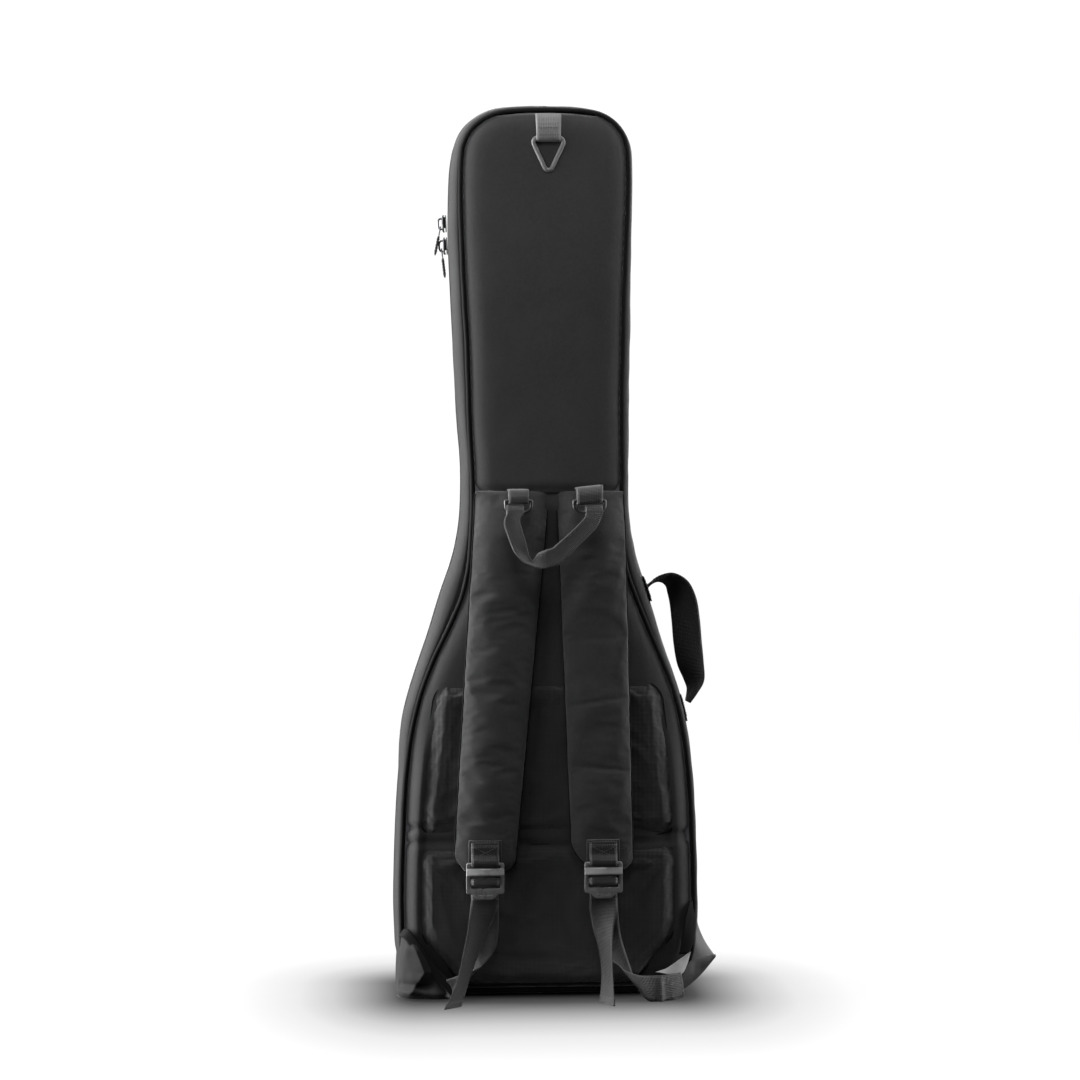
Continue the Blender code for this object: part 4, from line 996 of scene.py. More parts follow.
def back_pads():
    """The two raised mesh pads of the back, each with a soft roll round its edge."""
    face = BACK_Y - 0.003
    upper = [(-0.153, 0.19, 0.022), (0.153, 0.19, 0.022), (0.132, 0.37, 0.028), (-0.132, 0.37, 0.028)]
    lower = [(-0.1, 0.016, 0.03), (0.1, 0.016, 0.03), (0.15, 0.075, 0.05), (0.153, 0.18, 0.024),
             (-0.153, 0.18, 0.024), (-0.15, 0.075, 0.05)]
    for name, corners, seed in (("back_pad_upper", upper, 2.0), ("back_pad_lower", lower, 9.0)):
        outline = rounded_outline(corners)

        def surface(x, z, d, seed=seed):
            pts = flat_points(x, z)
            roll = 0.0068 * (1 - np.exp(-(d / 0.0062) ** 1.2)) + 0.0009 * np.exp(-(((d - 0.012) / 0.006) ** 2))
            centre = 0.0016 * np.exp(-((x / 0.05) ** 2)) * (1 if seed < 5 else 0.4)
            soft = rough(pts, (0.06, 1, 0.07), seed, 3) * 0.0007 * ramp(d, 0.0, 0.02)
            return face + 0.0012 - roll + centre - soft

        made, held = padded_plate(f"{name}_mesh", outline, 110, 130, surface, face + 0.0014)
        inflate(made, held, pressure=1.0, cap=0.0012, grow=0.004, steps=12)
        dress(made, "mesh_fabric", "bag", nodes=[name])
        ring = resample(upright(outline, face - 0.0002), 420, closed=True)
        dress(tube(f"{name}_seam", ring, 0.0009, closed=True, sides=8), "piping", "bag")


# ---- Shoulder straps ----------------------------------------------------------------------------------------------
STRAPS = {"left": (-0.042, -0.0745, 0.086), "right": (0.0485, 0.0627, 0.079)}
STRAP_END_WIDTH, STRAP_END_Z, STRAP_BEND_Z = 0.072, 0.1535, 0.492
STRAP_BACK_Y, STRAP_FRONT_Y = -0.052, -0.065
BUCKLE_BAR_Z, BUCKLE_Y = 0.16, -0.07


def strap_middle(side, z):
    top, bottom, _ = STRAPS[side]
    return top + (bottom - top) * (SEAM_Z - z) / (SEAM_Z - BUCKLE_BAR_Z)


def strap_half(side, z):
    share = (SEAM_Z - z) / (SEAM_Z - STRAP_END_Z)
    return (STRAPS[side][2] * (1 - share) + STRAP_END_WIDTH * share) / 2


def strap_edges(side, z):
    """Left and right edge of a strap at a height, with its shaped lower end."""
    mid, half = strap_middle(side, z), strap_half(side, z)
    cut = {"left": (0.17, 0.1585, 0.006, 0.164, 0.149, 0.013), "right": (0.183, 0.159, 0.014, 0.164, 0.15, 0.013)}
    a0, a1, da, b0, b1, db = cut[side]
    left = mid - half + da * np.clip((a0 - z) / (a0 - a1), 0, 1.6) ** 1.6
    right = mid + half - db * np.clip((b0 - z) / (b0 - b1), 0, 1.2) ** 2.0
    return left, right


def shoulder_strap(side):
    """Padded strap from the seam to its lower end, one piece below its sewn top, put on no body."""
    end = 0.15
    rows, across = 190, 25
    t = np.linspace(0, 1, rows)
    z = SEAM_Z + 0.0015 + (end - SEAM_Z - 0.0015) * (t - 0.035 * np.sin(2 * np.pi * t))
    left, right = strap_edges(side, z)
    a = np.linspace(-1, 1, across)
    u = np.sin(a * math.pi / 2) * 0.75 + a * 0.25
    mid_y = (STRAP_BACK_Y + STRAP_FRONT_Y) / 2
    head = 1 - np.clip((SEAM_Z + 0.0015 - z) / 0.024, 0, 1)
    tail = 1 - np.clip((z - end) / 0.012, 0, 1)
    full = np.sqrt(np.clip(1 - head ** 2.2, 0, 1)) * np.sqrt(np.clip(1 - tail ** 2.4, 0, 1))
    seam_y = mid_y + (BACK_Y - 0.002 - mid_y) * ramp(z, SEAM_Z - 0.055, SEAM_Z - 0.002)
    x = (left + right)[:, None] / 2 + (right - left)[:, None] / 2 * u[None]
    zz = np.repeat(z[:, None], across, 1)
    pts = flat_points(x, zz)
    lift = np.clip(1 - np.abs(u) ** 2.2, 0, 1)[None] ** 0.66 * full[:, None]
    wrinkle = rough(pts + (7.0 if side == "left" else 3.0), (0.07, 1, 0.03), 4.4, 3) * 0.0007
    dents = 0
    if side == "right":
        for zc, slope, amp in ((0.347, 0.14, 0.0008), (0.27, -0.1, 0.001), (0.42, 0.05, 0.0006)):
            dents = dents + amp * np.exp(-(((zz - zc - slope * (x - 0.055)) / 0.0026) ** 2)) * ramp(x, 0.02, 0.05)
    front = seam_y[:, None] - (0.0068 + 0.0022 * ramp(z, 0.195, 0.25))[:, None] * lift - (wrinkle - dents) * lift ** 2
    back_lift = (0.006 * (1 - ramp(z, SEAM_Z - 0.05, SEAM_Z - 0.002)) + 0.0004)[:, None]
    back = seam_y[:, None] + back_lift * lift
    ring = np.concatenate([np.stack([x, front, zz], -1), np.stack([x, back, zz], -1)[:, -2:0:-1]], axis=1)
    made = tidy(grid(f"shoulder_strap_pad_{side}", ring, closed_v=True), fill=True)
    n = ring.shape[1]
    held = [i * n + j for i in range(rows) for j in (0, across - 1)] + list(range(3 * n))
    held += list(range((rows - 2) * n, rows * n)) + [i * n + j for i in range(rows) for j in range(across, n)]
    inflate(made, held, pressure=1.2, cap=0.0014, grow=0.006, steps=14)
    bake_mods(modify(made, "SUBSURF", levels=1, render_levels=1))
    dress(made, "strap_fabric", nodes=[f"strap_anchor_{side}", f"shoulder_strap_{side}"])
    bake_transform(made)
    # bound edges, one run down each side
    for label, edge in (("a", left), ("b", right)):
        path = np.stack([edge, seam_y, z], axis=1)[2:-3]
        bound = tube(f"strap_binding_{side}_{label}", resample(path, 150), 0.00085, sides=8)
        dress(bound, "piping")
        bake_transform(bound)


def box_stitch(name, x0, x1, z0, z1, y, body):
    """A sewn box with a cross in it."""
    runs = [((x0, z0), (x1, z0)), ((x1, z0), (x1, z1)), ((x1, z1), (x0, z1)), ((x0, z1), (x0, z0)),
            ((x0, z0), (x1, z1)), ((x0, z1), (x1, z0))]
    made = []
    for k, (a, b) in enumerate(runs):
        path = np.linspace((a[0], y, a[1]), (b[0], y, b[1]), 8)
        made.append(stitches(f"{name}_{k}", path, pitch=0.003, length=0.0022, thick=0.00033))
    return dress(join(name, *made), "thread_light", body)


def strap_end(side):
    """The sewn patch, the webbing turned round the ladder lock's bar, the ladder lock and the loose end."""
    x = STRAPS[side][1]
    swing, lock, tail = f"strap_{side}", f"buckle_{side}", f"tail_{side}"
    front = STRAP_FRONT_Y - 0.0008
    patch = box_mesh(f"strap_patch_{side}", (x - 0.019, front - 0.0016, 0.161), (x + 0.019, front + 0.0012, 0.187),
                     bevel=0.0007)
    dress(patch, "webbing", swing)
    fold = 0.004
    path = [(front - 0.0022, 0.1845), (front - 0.0023, 0.176), (front - 0.0026, 0.168), (BUCKLE_Y + 0.003, 0.1635)]
    for k in range(9):
        a = math.radians(20 - 200 * k / 8)
        path.append((BUCKLE_Y + fold * math.cos(a) * 0.9, BUCKLE_BAR_Z + fold * math.sin(a) * 0.9))
    path += [(BUCKLE_Y - 0.0034, 0.164), (front - 0.0042, 0.1705), (front - 0.004, 0.178), (front - 0.0036, 0.1815)]
    rows = [((x, *p), (0.0162, 0, 0)) for p in path]
    turn = strap(f"buckle_webbing_turn_{side}", rows, 0.0013, count=70, across=9)
    dress(turn, "webbing", swing, nodes=[f"buckle_webbing_{side}"])
    box_stitch(f"strap_box_stitch_{side}", x - 0.014, x + 0.014, 0.166, 0.18, front - 0.00505, swing)
    line = np.linspace((x - 0.018, front - 0.0018, 0.1857), (x + 0.018, front - 0.0018, 0.1857), 6)
    dress(stitches(f"strap_patch_stitch_{side}", line, pitch=0.0032, length=0.0024), "thread_light", swing)
    low_left, low_right = strap_edges(side, np.array([0.176]))
    for k, (a, b) in enumerate(((low_left[0] + 0.002, x - 0.02), (x + 0.02, low_right[0] - 0.003))):
        if b - a > 0.006:
            line = np.linspace((a, front + 0.0016, 0.176), (b, front + 0.001, 0.176), 6)
            dress(stitches(f"strap_cross_stitch_{side}_{k}", line, pitch=0.0034, length=0.0026), "thread", swing)
    ladder_lock(side, x, lock)
    loose_end(side, x, tail)


def plate(name, outlines, low, high, bevel=0.0007):
    """A moulded plate between two planes across Y, with holes and rounded edges."""
    curve = bpy.data.curves.new(name, "CURVE")
    curve.dimensions = "2D"
    curve.fill_mode = "BOTH"
    curve.extrude = (high - low) / 2 - bevel
    curve.bevel_depth = bevel
    curve.bevel_resolution = 3
    curve.offset = -bevel
    for outline in outlines:
        line = curve.splines.new("POLY")
        line.points.add(len(outline) - 1)
        for point, (u, v) in zip(line.points, outline):
            point.co = (u, v, 0, 1)
        line.use_cyclic_u = True
    temp = link(name + "_curve", curve)
    bpy.context.view_layer.update()
    mesh = bpy.data.meshes.new_from_object(temp.evaluated_get(bpy.context.evaluated_depsgraph_get()))
    bpy.data.objects.remove(temp)
    shape = bmesh.new()
    shape.from_mesh(mesh)
    bmesh.ops.remove_doubles(shape, verts=shape.verts, dist=1e-6)
    bmesh.ops.transform(shape, verts=shape.verts,
                        matrix=Matrix.Translation((0, (low + high) / 2, 0)) @ Matrix.Rotation(math.pi / 2, 4, "X"))
    bmesh.ops.recalc_face_normals(shape, faces=shape.faces)
    shape.to_mesh(mesh)
    shape.free()
    mesh.shade_smooth()
    mesh.set_sharp_from_angle(angle=math.radians(40))
    return link(name, mesh)


def bar(name, profile, x0, x1):
    """A moulded bar along X from a closed profile in (y, z), its ends closed."""
    profile = resample(np.array(profile, float), 40, closed=True)
    for _ in range(2):
        profile = (np.roll(profile, 1, 0) + 2 * profile + np.roll(profile, -1, 0)) / 4
    xs = [x0, x0 + 0.0004, x1 - 0.0004, x1]
    mid = profile.mean(0)
    pts = []
    for k, x in enumerate(xs):
        scale = 0.93 if k in (0, 3) else 1.0
        p = mid + (profile - mid) * scale
        pts.append(np.stack([np.full(len(p), x), p[:, 0], p[:, 1]], axis=1))
    made = tidy(grid(name, np.array(pts), closed_v=True), fill=True)
    made.data.set_sharp_from_angle(angle=math.radians(50))
    return made


def ladder_lock(side, x, body):
    """Ladder lock: a frame with a wedge-shaped upper bar, a plain grip bar and a thumb tab with three ribs."""
    y0, y1 = BUCKLE_Y - 0.0025, BUCKLE_Y + 0.0025
    half = 0.022
    tab = [(x - half, 0.1255, 0.003), (x - 0.0145, 0.1255, 0.002), (x - 0.0105, 0.1192, 0.005),
           (x + 0.0105, 0.1192, 0.005),
           (x + 0.0145, 0.1255, 0.002), (x + half, 0.1255, 0.003), (x + half, 0.1615, 0.003),
           (x - half, 0.1615, 0.003)]
    window = rectangle(x - 0.0175, x + 0.0175, 0.1318, 0.1585, 0.001, steps=4)
    rim = plate(f"lock_rim_{side}", [eased_outline(tab), window], y0, y1)
    wedge = bar(f"lock_wedge_{side}", [(y1, 0.1552), (y0 + 0.001, 0.156), (y0 - 0.0004, 0.155), (y0 - 0.004, 0.148),
                                       (y0 - 0.0032, 0.1466), (y1 - 0.0008, 0.1466)], x - 0.0215, x + 0.0215)
    grip = bar(f"lock_grip_{side}", [(y1, 0.1424), (y0 + 0.0004, 0.1424), (y0 + 0.0001, 0.14), (y0 + 0.0004, 0.1366),
                                     (y1, 0.1366)], x - 0.0185, x + 0.0185)
    ribs = [bar(f"lock_rib_{side}_{k}", [(y0 + 0.0002, z + 0.0004), (y0 - 0.0006, z), (y0 + 0.0002, z - 0.0004)],
                x - 0.0085, x + 0.0085) for k, z in enumerate((0.124, 0.1225, 0.121))]
    for r in ribs + [wedge, grip, rim]:
        r.data.shade_smooth()
    made = join(f"ladder_lock_body_{side}", rim, wedge, grip, *ribs)
    made.data.set_sharp_from_angle(angle=math.radians(42))
    dress(made, "buckle_plastic", body, nodes=[f"ladder_lock_{side}"])
    path = []
    mid, reach, fy = 0.1395, 0.0039, y0 - 0.0012
    for y, z in ((BUCKLE_Y + 0.0024, mid + reach), (fy + 0.0016, mid + reach), (fy + 0.0002, mid + reach - 0.0012),
                 (fy, mid), (fy + 0.0002, mid - reach + 0.0012), (fy + 0.0016, mid - reach),
                 (BUCKLE_Y + 0.0024, mid - reach)):
        path.append(((x, y, z), (WEBBING_HALF, 0, 0)))
    thread = strap(f"lock_webbing_{side}", path, 0.0013, count=40, across=9)
    dress(thread, "webbing_light", body, nodes=[f"buckle_thread_{side}"])


def loose_end(side, x, body):
    """The loose webbing below the ladder lock, turning on itself as it hangs to the floor."""
    half = WEBBING_HALF
    if side == "left":
        rows = [((x, -0.0668, 0.1182), 0, 1.0), ((x - 0.003, -0.07, 0.104), 14, 1.0),
                ((x - 0.009, -0.074, 0.084), 34, 0.96),
                ((x - 0.017, -0.082, 0.061), 46, 0.92), ((x - 0.025, -0.093, 0.038), 54, 0.88),
                ((x - 0.033, -0.109, 0.018), 50, 0.85), ((x - 0.04, -0.126, 0.0045), 40, 0.82)]
    else:
        rows = [((x, -0.0668, 0.1182), 0, 1.0), ((x, -0.07, 0.104), 16, 1.0), ((x, -0.074, 0.084), 44, 0.95),
                ((x + 0.002, -0.082, 0.061), 62, 0.9), ((x + 0.003, -0.093, 0.038), 66, 0.85),
                ((x + 0.002, -0.106, 0.018), 62, 0.85), ((x + 0.0, -0.119, 0.005), 56, 0.85)]
    full = []
    for p, turn, k in rows:
        a = math.radians(turn)
        face = 1 if side == "left" else -1
        full.append((p, (half * k * math.cos(a), face * half * k * math.sin(a), 0)))
    made = strap(f"loose_webbing_{side}", full, 0.0013, count=90, across=11, cup=0.0012)
    dress(made, "webbing", body, nodes=[f"strap_tail_{side}"])
    # turned and sewn end
    p, turn, k = rows[-1]
    a = math.radians(turn)
    side_v = np.array((math.cos(a), face * math.sin(a), 0))
    down = np.array(rows[-1][0]) - np.array(rows[-2][0])
    down /= np.linalg.norm(down)
    hem = [(tuple(np.array(p) - down * d + (0, -0.0013, 0)),
            tuple(side_v * half * k * 1.01)) for d in (0.01, 0.005, 0.0002)]
    dress(strap(f"loose_hem_{side}", hem, 0.0012, count=12, across=9), "webbing", body)
    row = np.array(p) - down * 0.008
    line = np.linspace(row - side_v * half * k * 0.85 + (0, -0.0021, 0),
                       row + side_v * half * k * 0.85 + (0, -0.0021, 0), 5)
    dress(stitches(f"loose_stitch_{side}", line, pitch=0.0028, length=0.002), "thread_light", body)


# ---- Rings and loops ----------------------------------------------------------------------------------------------
def hanging_ring():
    """Triangular ring in its webbing tab, under the top of the back."""
    y, z = -0.0512, 0.999
    corners = [(-0.0205, z, 0.0055), (0.0, z - 0.044, 0.005), (0.0205, z, 0.0055)]
    outline = rounded_outline(corners, steps=8)
    path = resample(upright(outline, y), 150, closed=True)
    ring = tube("hanging_triangle", path, 0.0025, closed=True, sides=14)
    dress(ring, "ring_plastic", "hang_ring", nodes=["hang_ring"])
    fold = 0.0025 + 0.0006 + 0.0008
    rows = [((0, y + fold, 1.0235), 0.0148), ((0, y + fold, 1.01), 0.0146)]
    for k in range(9):
        a = math.radians(0 - 180 * k / 8)
        rows.append(((0, y + fold * math.cos(a), z + fold * math.sin(a)), 0.0143))
    rows += [((0, y - fold - 0.0002, 1.006), 0.0143), ((0, y - fold + 0.0016, 1.015), 0.0146),
             ((0, y + 0.0008, 1.0225), 0.015), ((0, y + 0.004, 1.0268), 0.0152)]
    tab = strap("hang_tab_webbing", [(c, (w, 0, 0)) for c, w in rows], 0.0014, count=80, across=11)
    dress(tab, "webbing_tab", "bag", nodes=["hang_tab"])
    for k, h in enumerate((1.0085, 1.0105)):
        at = y - fold - 0.001 + (h - 1.006) * 0.12
        line = np.linspace((-0.0125, at, h), (0.0125, at, h), 5)
        dress(stitches(f"hang_tab_stitch_{k}", line, pitch=0.003, length=0.0022), "thread", "bag")


def haul():
    """Grab loop: two tabs, two D rings and the webbing between them."""
    y, z = -0.0725, 0.58
    places = {"left": -0.036, "right": 0.046}
    for side, x in places.items():
        r, wide = {"left": (0.015, 0.012), "right": (0.018, 0.0155)}[side]
        pts = [(x - r, z), (x + r, z)] + [(x + r * math.cos(math.radians(a)),
                                           z - 0.014 * math.sin(math.radians(-a)) ** 0.45)
                                           for a in range(-12, -169, -6)]
        path = resample(np.array([(u, y, v) for u, v in pts]), 110, closed=True)
        for _ in range(3):
            path = (np.roll(path, 1, 0) + 2 * path + np.roll(path, -1, 0)) / 4
        dress(tube(f"haul_d_ring_{side}", path, 0.002, closed=True, sides=12), "ring_metal", "haul_rings",
              nodes=[f"haul_ring_{side}"])
        fold = 0.002 + 0.0006 + 0.0008
        tilt = 0.0 if side == "left" else 0.1
        top = SEAM_Z + (0.002 if side == "left" else 0.0055)
        rows = [((x, BACK_Y - 0.002, top - 0.001), wide), ((x, y + 0.009, top + 0.001), wide * 1.04),
                ((x, y + 0.0005, top - 0.0006), wide * 1.02), ((x, y - 0.0034, top - 0.007), wide)]
        for k in range(9):
            a = math.radians(180 + 180 * k / 8)
            rows.append(((x, y + fold * math.cos(a), z + fold * math.sin(a)), wide * 0.97))
        rows += [((x, y + fold - 0.0004, z + 0.005), wide * 0.97), ((x, y + 0.0045, top - 0.0035), wide * 0.98)]
        tab = strap(f"haul_tab_webbing_{side}", [(c, (w, 0, w * tilt)) for c, w in rows], 0.0014, count=80, across=9)
        dress(tab, "webbing_light", "bag", nodes=[f"haul_tab_{side}"])
    wire = z - 0.014
    bend, drop = 0.0052, 0.0085
    left, right = places["left"], places["right"]

    def across(width, heading, lean=0.0):
        a = math.radians(heading + 90)
        return (width * math.cos(a) * math.cos(lean), width * math.sin(lean), width * math.sin(a) * math.cos(lean))

    rows = []
    for k in range(7):
        a = math.radians(-20 + 200 * k / 6)
        rows.append(((left - 0.004, y + bend * math.cos(a), wire + drop * math.sin(a)), (0.01, 0, 0)))
    rows += [((-0.044, y - 0.0062, 0.556), across(0.0096, -78)), ((-0.04, y - 0.0078, 0.541), across(0.0092, -74)),
             ((-0.0345, y - 0.0092, 0.525), across(0.0084, -68, 0.15)),
             ((-0.0285, y - 0.01, 0.5135), across(0.0066, -56, 0.7)),
             ((-0.0215, y - 0.0104, 0.5085), across(0.006, -30, 1.0)),
             ((-0.0135, y - 0.0102, 0.511), across(0.0094, 0, 0.4)),
             ((-0.004, y - 0.01, 0.5135), across(0.0108, 3)), ((0.006, y - 0.0098, 0.5165), across(0.0106, 22)),
             ((0.016, y - 0.0094, 0.525), across(0.0096, 42)), ((0.0265, y - 0.0088, 0.535), across(0.009, 44)),
             ((0.038, y - 0.008, 0.546), across(0.009, 46)), ((0.0475, y - 0.0068, 0.5565), across(0.0092, 56))]
    for k in range(7):
        a = math.radians(180 - 200 * k / 6)
        rows.append(((right + 0.005, y + bend * math.cos(a), wire + drop * math.sin(a)), (-0.01, 0, 0)))
    loop = strap("haul_loop_webbing", rows, 0.0014, count=170, across=11, cup=0.0008)
    dress(loop, "webbing_light", "haul_loop", nodes=["haul_loop"])


back_pads()
for side_name in ("left", "right"):
    shoulder_strap(side_name)
    strap_end(side_name)
hanging_ring()
haul()


# ---- Carry handle -------------------------------------------------------------------------------------------------
HANDLE_Y = -0.016


def carry_handle():
    """Wide webbing handle, its ends sewn down on the shoulder and its grip turned on itself."""
    route = [(0.1172, 0.4752, 2), (0.1242, 0.4817, 6), (0.134, 0.4862, 14), (0.145, 0.4855, 30), (0.1545, 0.477, 50),
             (0.161, 0.461, 64), (0.1645, 0.438, 72), (0.1668, 0.412, 72), (0.1698, 0.388, 60), (0.1735, 0.368, 38),
             (0.1712, 0.355, 16), (0.1664, 0.3424, 4)]
    points = np.array([(x, HANDLE_Y, z) for x, z, _ in route])
    rows = []
    for i, (p, (_, _, turn)) in enumerate(zip(points, route)):
        t = points[min(i + 1, len(points) - 1)] - points[max(i - 1, 0)]
        across = Vector((0, 1, 0))
        across.rotate(Matrix.Rotation(math.radians(-turn), 3, Vector(t).normalized()))
        rows.append((tuple(p), tuple(across * (0.0128, 0.0158, 0.017)[min(i, len(points) - 1 - i, 2)])))
    body = strap("carry_handle_webbing", rows, 0.0026, count=120, across=13, cup=0.0015)
    dress(body, "webbing", "carry_handle", nodes=["carry_handle"])
    # a run of stitching along each side
    full = spline(np.array([list(c) + list(a) for c, a in rows]), 90)
    for k, share in enumerate((-0.84, 0.84)):
        mid, half = full[:, :3], full[:, 3:]
        n = np.cross(np.gradient(mid, axis=0), half)
        n /= np.linalg.norm(n, axis=1)[:, None]
        path = mid + half * share + n * (0.0014 + 0.0011)
        dress(stitches(f"handle_stitch_{k}", path[6:-6], pitch=0.0036, length=0.0026), "thread", "carry_handle")
    wall = wall_line(0.0016)
    for label, z, lean in (("upper", 0.476, 1), ("lower", 0.338, -1)):
        right = np.where(wall[:, 0] > 0.05)[0]
        at = right[np.argmin(np.abs(wall[right, 1] - z))]
        idx = np.arange(at - 4, at + 5)
        line = np.array([(wall[i, 0], HANDLE_Y, wall[i, 1]) for i in idx])
        d = line[-1] - line[0]
        d /= np.linalg.norm(d)
        n = np.array((d[2], 0, -d[0]))
        rows = [(tuple(p), (0, 0.0175, 0)) for p in line]
        dress(strap(f"handle_anchor_patch_{label}", rows, 0.0016, count=24, across=11), "webbing", "bag",
              nodes=[f"handle_anchor_{label}"])
        mid = line[len(line) // 2] + n * 0.0011
        runs = []
        a, b = 0.0105, 0.013
        corners = [(-a, -b), (a, -b), (a, b), (-a, b)]
        for k, (c0, c1) in enumerate(zip(corners + [corners[0], corners[1]],
                                         corners[1:] + corners[:1] + [corners[2], corners[3]])):
            p0 = mid + d * c0[0] + np.array((0, c0[1], 0))
            p1 = mid + d * c1[0] + np.array((0, c1[1], 0))
            runs.append(stitches(f"anchor_run_{label}_{k}", np.linspace(p0, p1, 8), pitch=0.003, length=0.0022))
        dress(join(f"anchor_stitch_{label}", *runs), "thread_light", "bag")


# ---- Lower corners ------------------------------------------------------------------------------------------------
def cloth_patch(name, upper, lower, count=60, rows=18, puff=0.003, seed=1.0, folds=0.0012, out=(-0.6, -0.8, 0)):
    """Cloth between two edge curves, pushed outwards in soft folds."""
    a = spline(np.array(upper, float), count)[:, :3]
    b = spline(np.array(lower, float), count)[:, :3]
    v = np.linspace(0, 1, rows)
    pts = a[:, None] * (1 - v)[None, :, None] + b[:, None] * v[None, :, None]
    push = np.asarray(out, float) / np.linalg.norm(out)
    h = puff * np.sin(np.pi * v)[None] * (0.75 + 0.25 * np.cos(np.linspace(0, 9, count)))[:, None]
    h = h + folds * rough(pts, (0.016, 0.016, 0.03), seed, 2) * np.sin(np.pi * v)[None] ** 0.5
    made = tidy(grid(name, pts + push * h[..., None]))
    face_out(made, push)
    return solidify(made, 0.0014)


def corner_wings():
    """Folded cloth triangles in the bottom corners, with a near-black band along the left one's upper edge, and the
    webbing sewn into them; on the right a near-black sheet of painted shade and a pale patch of painted highlight.
    """
    upper = [(-0.1745, -0.006, 0.07), (-0.1742, -0.026, 0.074), (-0.17, -0.044, 0.08), (-0.164, -0.053, 0.079),
             (-0.149, -0.06, 0.06), (-0.133, -0.064, 0.038), (-0.107, -0.068, 0.011)]
    lower = [(-0.177, -0.006, 0.011), (-0.1775, -0.026, 0.008), (-0.1755, -0.048, 0.0045), (-0.164, -0.059, 0.003),
             (-0.145, -0.0635, 0.003), (-0.129, -0.066, 0.003), (-0.106, -0.069, 0.004)]
    wing = cloth_patch("corner_wing_cloth_left", upper, lower, count=110, rows=44, puff=0.002, seed=4.0, folds=0.001,
                       out=(-0.45, -0.9, 0.05))
    bake_mods(wing)
    # a hard fold: one face towards the side, the other towards the middle
    pts = get_points(wing)
    ridge = np.interp(pts[:, 2], [0.004, 0.014, 0.035, 0.06, 0.08], [-0.166, -0.157, -0.1435, -0.1535, -0.168])
    off = pts[:, 0] - ridge
    tent = np.where(off < 0, np.exp(off / 0.02), np.exp(-off / 0.01))
    inside = ramp(pts[:, 2], 0.003, 0.014) * (1 - ramp(pts[:, 2], 0.058, 0.078)) * ramp(-pts[:, 1], 0.04, 0.056)
    pts[:, 1] -= 0.0075 * tent * inside
    pts[:, 0] -= 0.001 * inside
    roll = np.exp(-(((pts[:, 2] - 0.009) / 0.006) ** 2))
    pts[:, 1] -= 0.004 * (roll * ramp(-pts[:, 0], 0.112, 0.13) * ramp(-pts[:, 1], 0.03, 0.052))
    groove = 0.0045 * np.exp(-(((pts[:, 2] - 0.0185) / 0.005) ** 2))
    pts[:, 1] += groove * ramp(-pts[:, 0], 0.128, 0.142) * ramp(-pts[:, 1], 0.046, 0.056)
    set_points(wing, pts)
    tidy(wing)
    dress(wing, "wing_cloth", "bag", nodes=["corner_wing_left"])
    # A near-black band along the left wing's upper edge.
    rows = [((x - 0.0006, y - 0.003, z - 0.002), (0.0036, 0.001, 0.0046)) for x, y, z in upper[2:]]
    dress(strap("corner_wing_dark_band_left", rows, 0.0016, count=60, across=7), "piping", "bag")

    side = [(0.1755, -0.03, 0.096), (0.179, -0.03, 0.078), (0.187, -0.03, 0.06), (0.1985, -0.031, 0.043)]
    inner = [(0.172, -0.033, 0.09), (0.169, -0.037, 0.07), (0.168, -0.04, 0.052), (0.166, -0.043, 0.037)]
    wing = cloth_patch("corner_wing_cloth_right", side, inner, count=40, rows=16, puff=0.0015, seed=8.0, folds=0.0007,
                       out=(0, -1, 0))
    dress(wing, "webbing_tab", "bag", nodes=["corner_wing_right"])
    top = [(0.1986, -0.0325, 0.0455), (0.185, -0.0405, 0.044), (0.169, -0.049, 0.042), (0.156, -0.058, 0.03),
           (0.142, -0.063, 0.015)]
    bottom = [(0.1975, -0.0335, 0.0405), (0.183, -0.042, 0.026), (0.168, -0.05, 0.014), (0.153, -0.059, 0.006),
              (0.142, -0.064, 0.002)]
    under = cloth_patch("corner_wing_fold_right", top, bottom, count=44, rows=14, puff=0.0022, seed=5.0, folds=0.0008,
                        out=(0.3, -0.9, 0))
    dress(under, "webbing", "bag")
    # Painted shade: a near-black sheet laid over the right wing's shaded inside.
    shade = cloth_patch("corner_wing_painted_shade_right",
                        [(0.1712, -0.042, 0.112), (0.174, -0.044, 0.09), (0.1712, -0.05, 0.066),
                         (0.165, -0.054, 0.0505)],
                        [(0.1655, -0.05, 0.108), (0.16, -0.0525, 0.09), (0.156, -0.0545, 0.066),
                         (0.153, -0.056, 0.05)],
                        count=30, rows=10, puff=0.0008, seed=2.0, folds=0.0004, out=(0.2, -1, 0))
    dress(shade, "piping", "bag")
    # Painted highlight: a pale patch where light catches the right wing's webbing.
    painted_highlight_flap = cloth_patch("corner_wing_flap_right",
                         [(0.1665, -0.06, 0.054), (0.152, -0.064, 0.0455), (0.138, -0.069, 0.037),
                          (0.123, -0.074, 0.033)],
                         [(0.1655, -0.0575, 0.05), (0.162, -0.061, 0.04), (0.157, -0.065, 0.031),
                          (0.151, -0.068, 0.027)],
                         count=40, rows=18, puff=0.001, seed=3.0, folds=0.0005, out=(-0.3, -1, 0.1))
    dress(painted_highlight_flap, "webbing_painted_highlight", "bag")


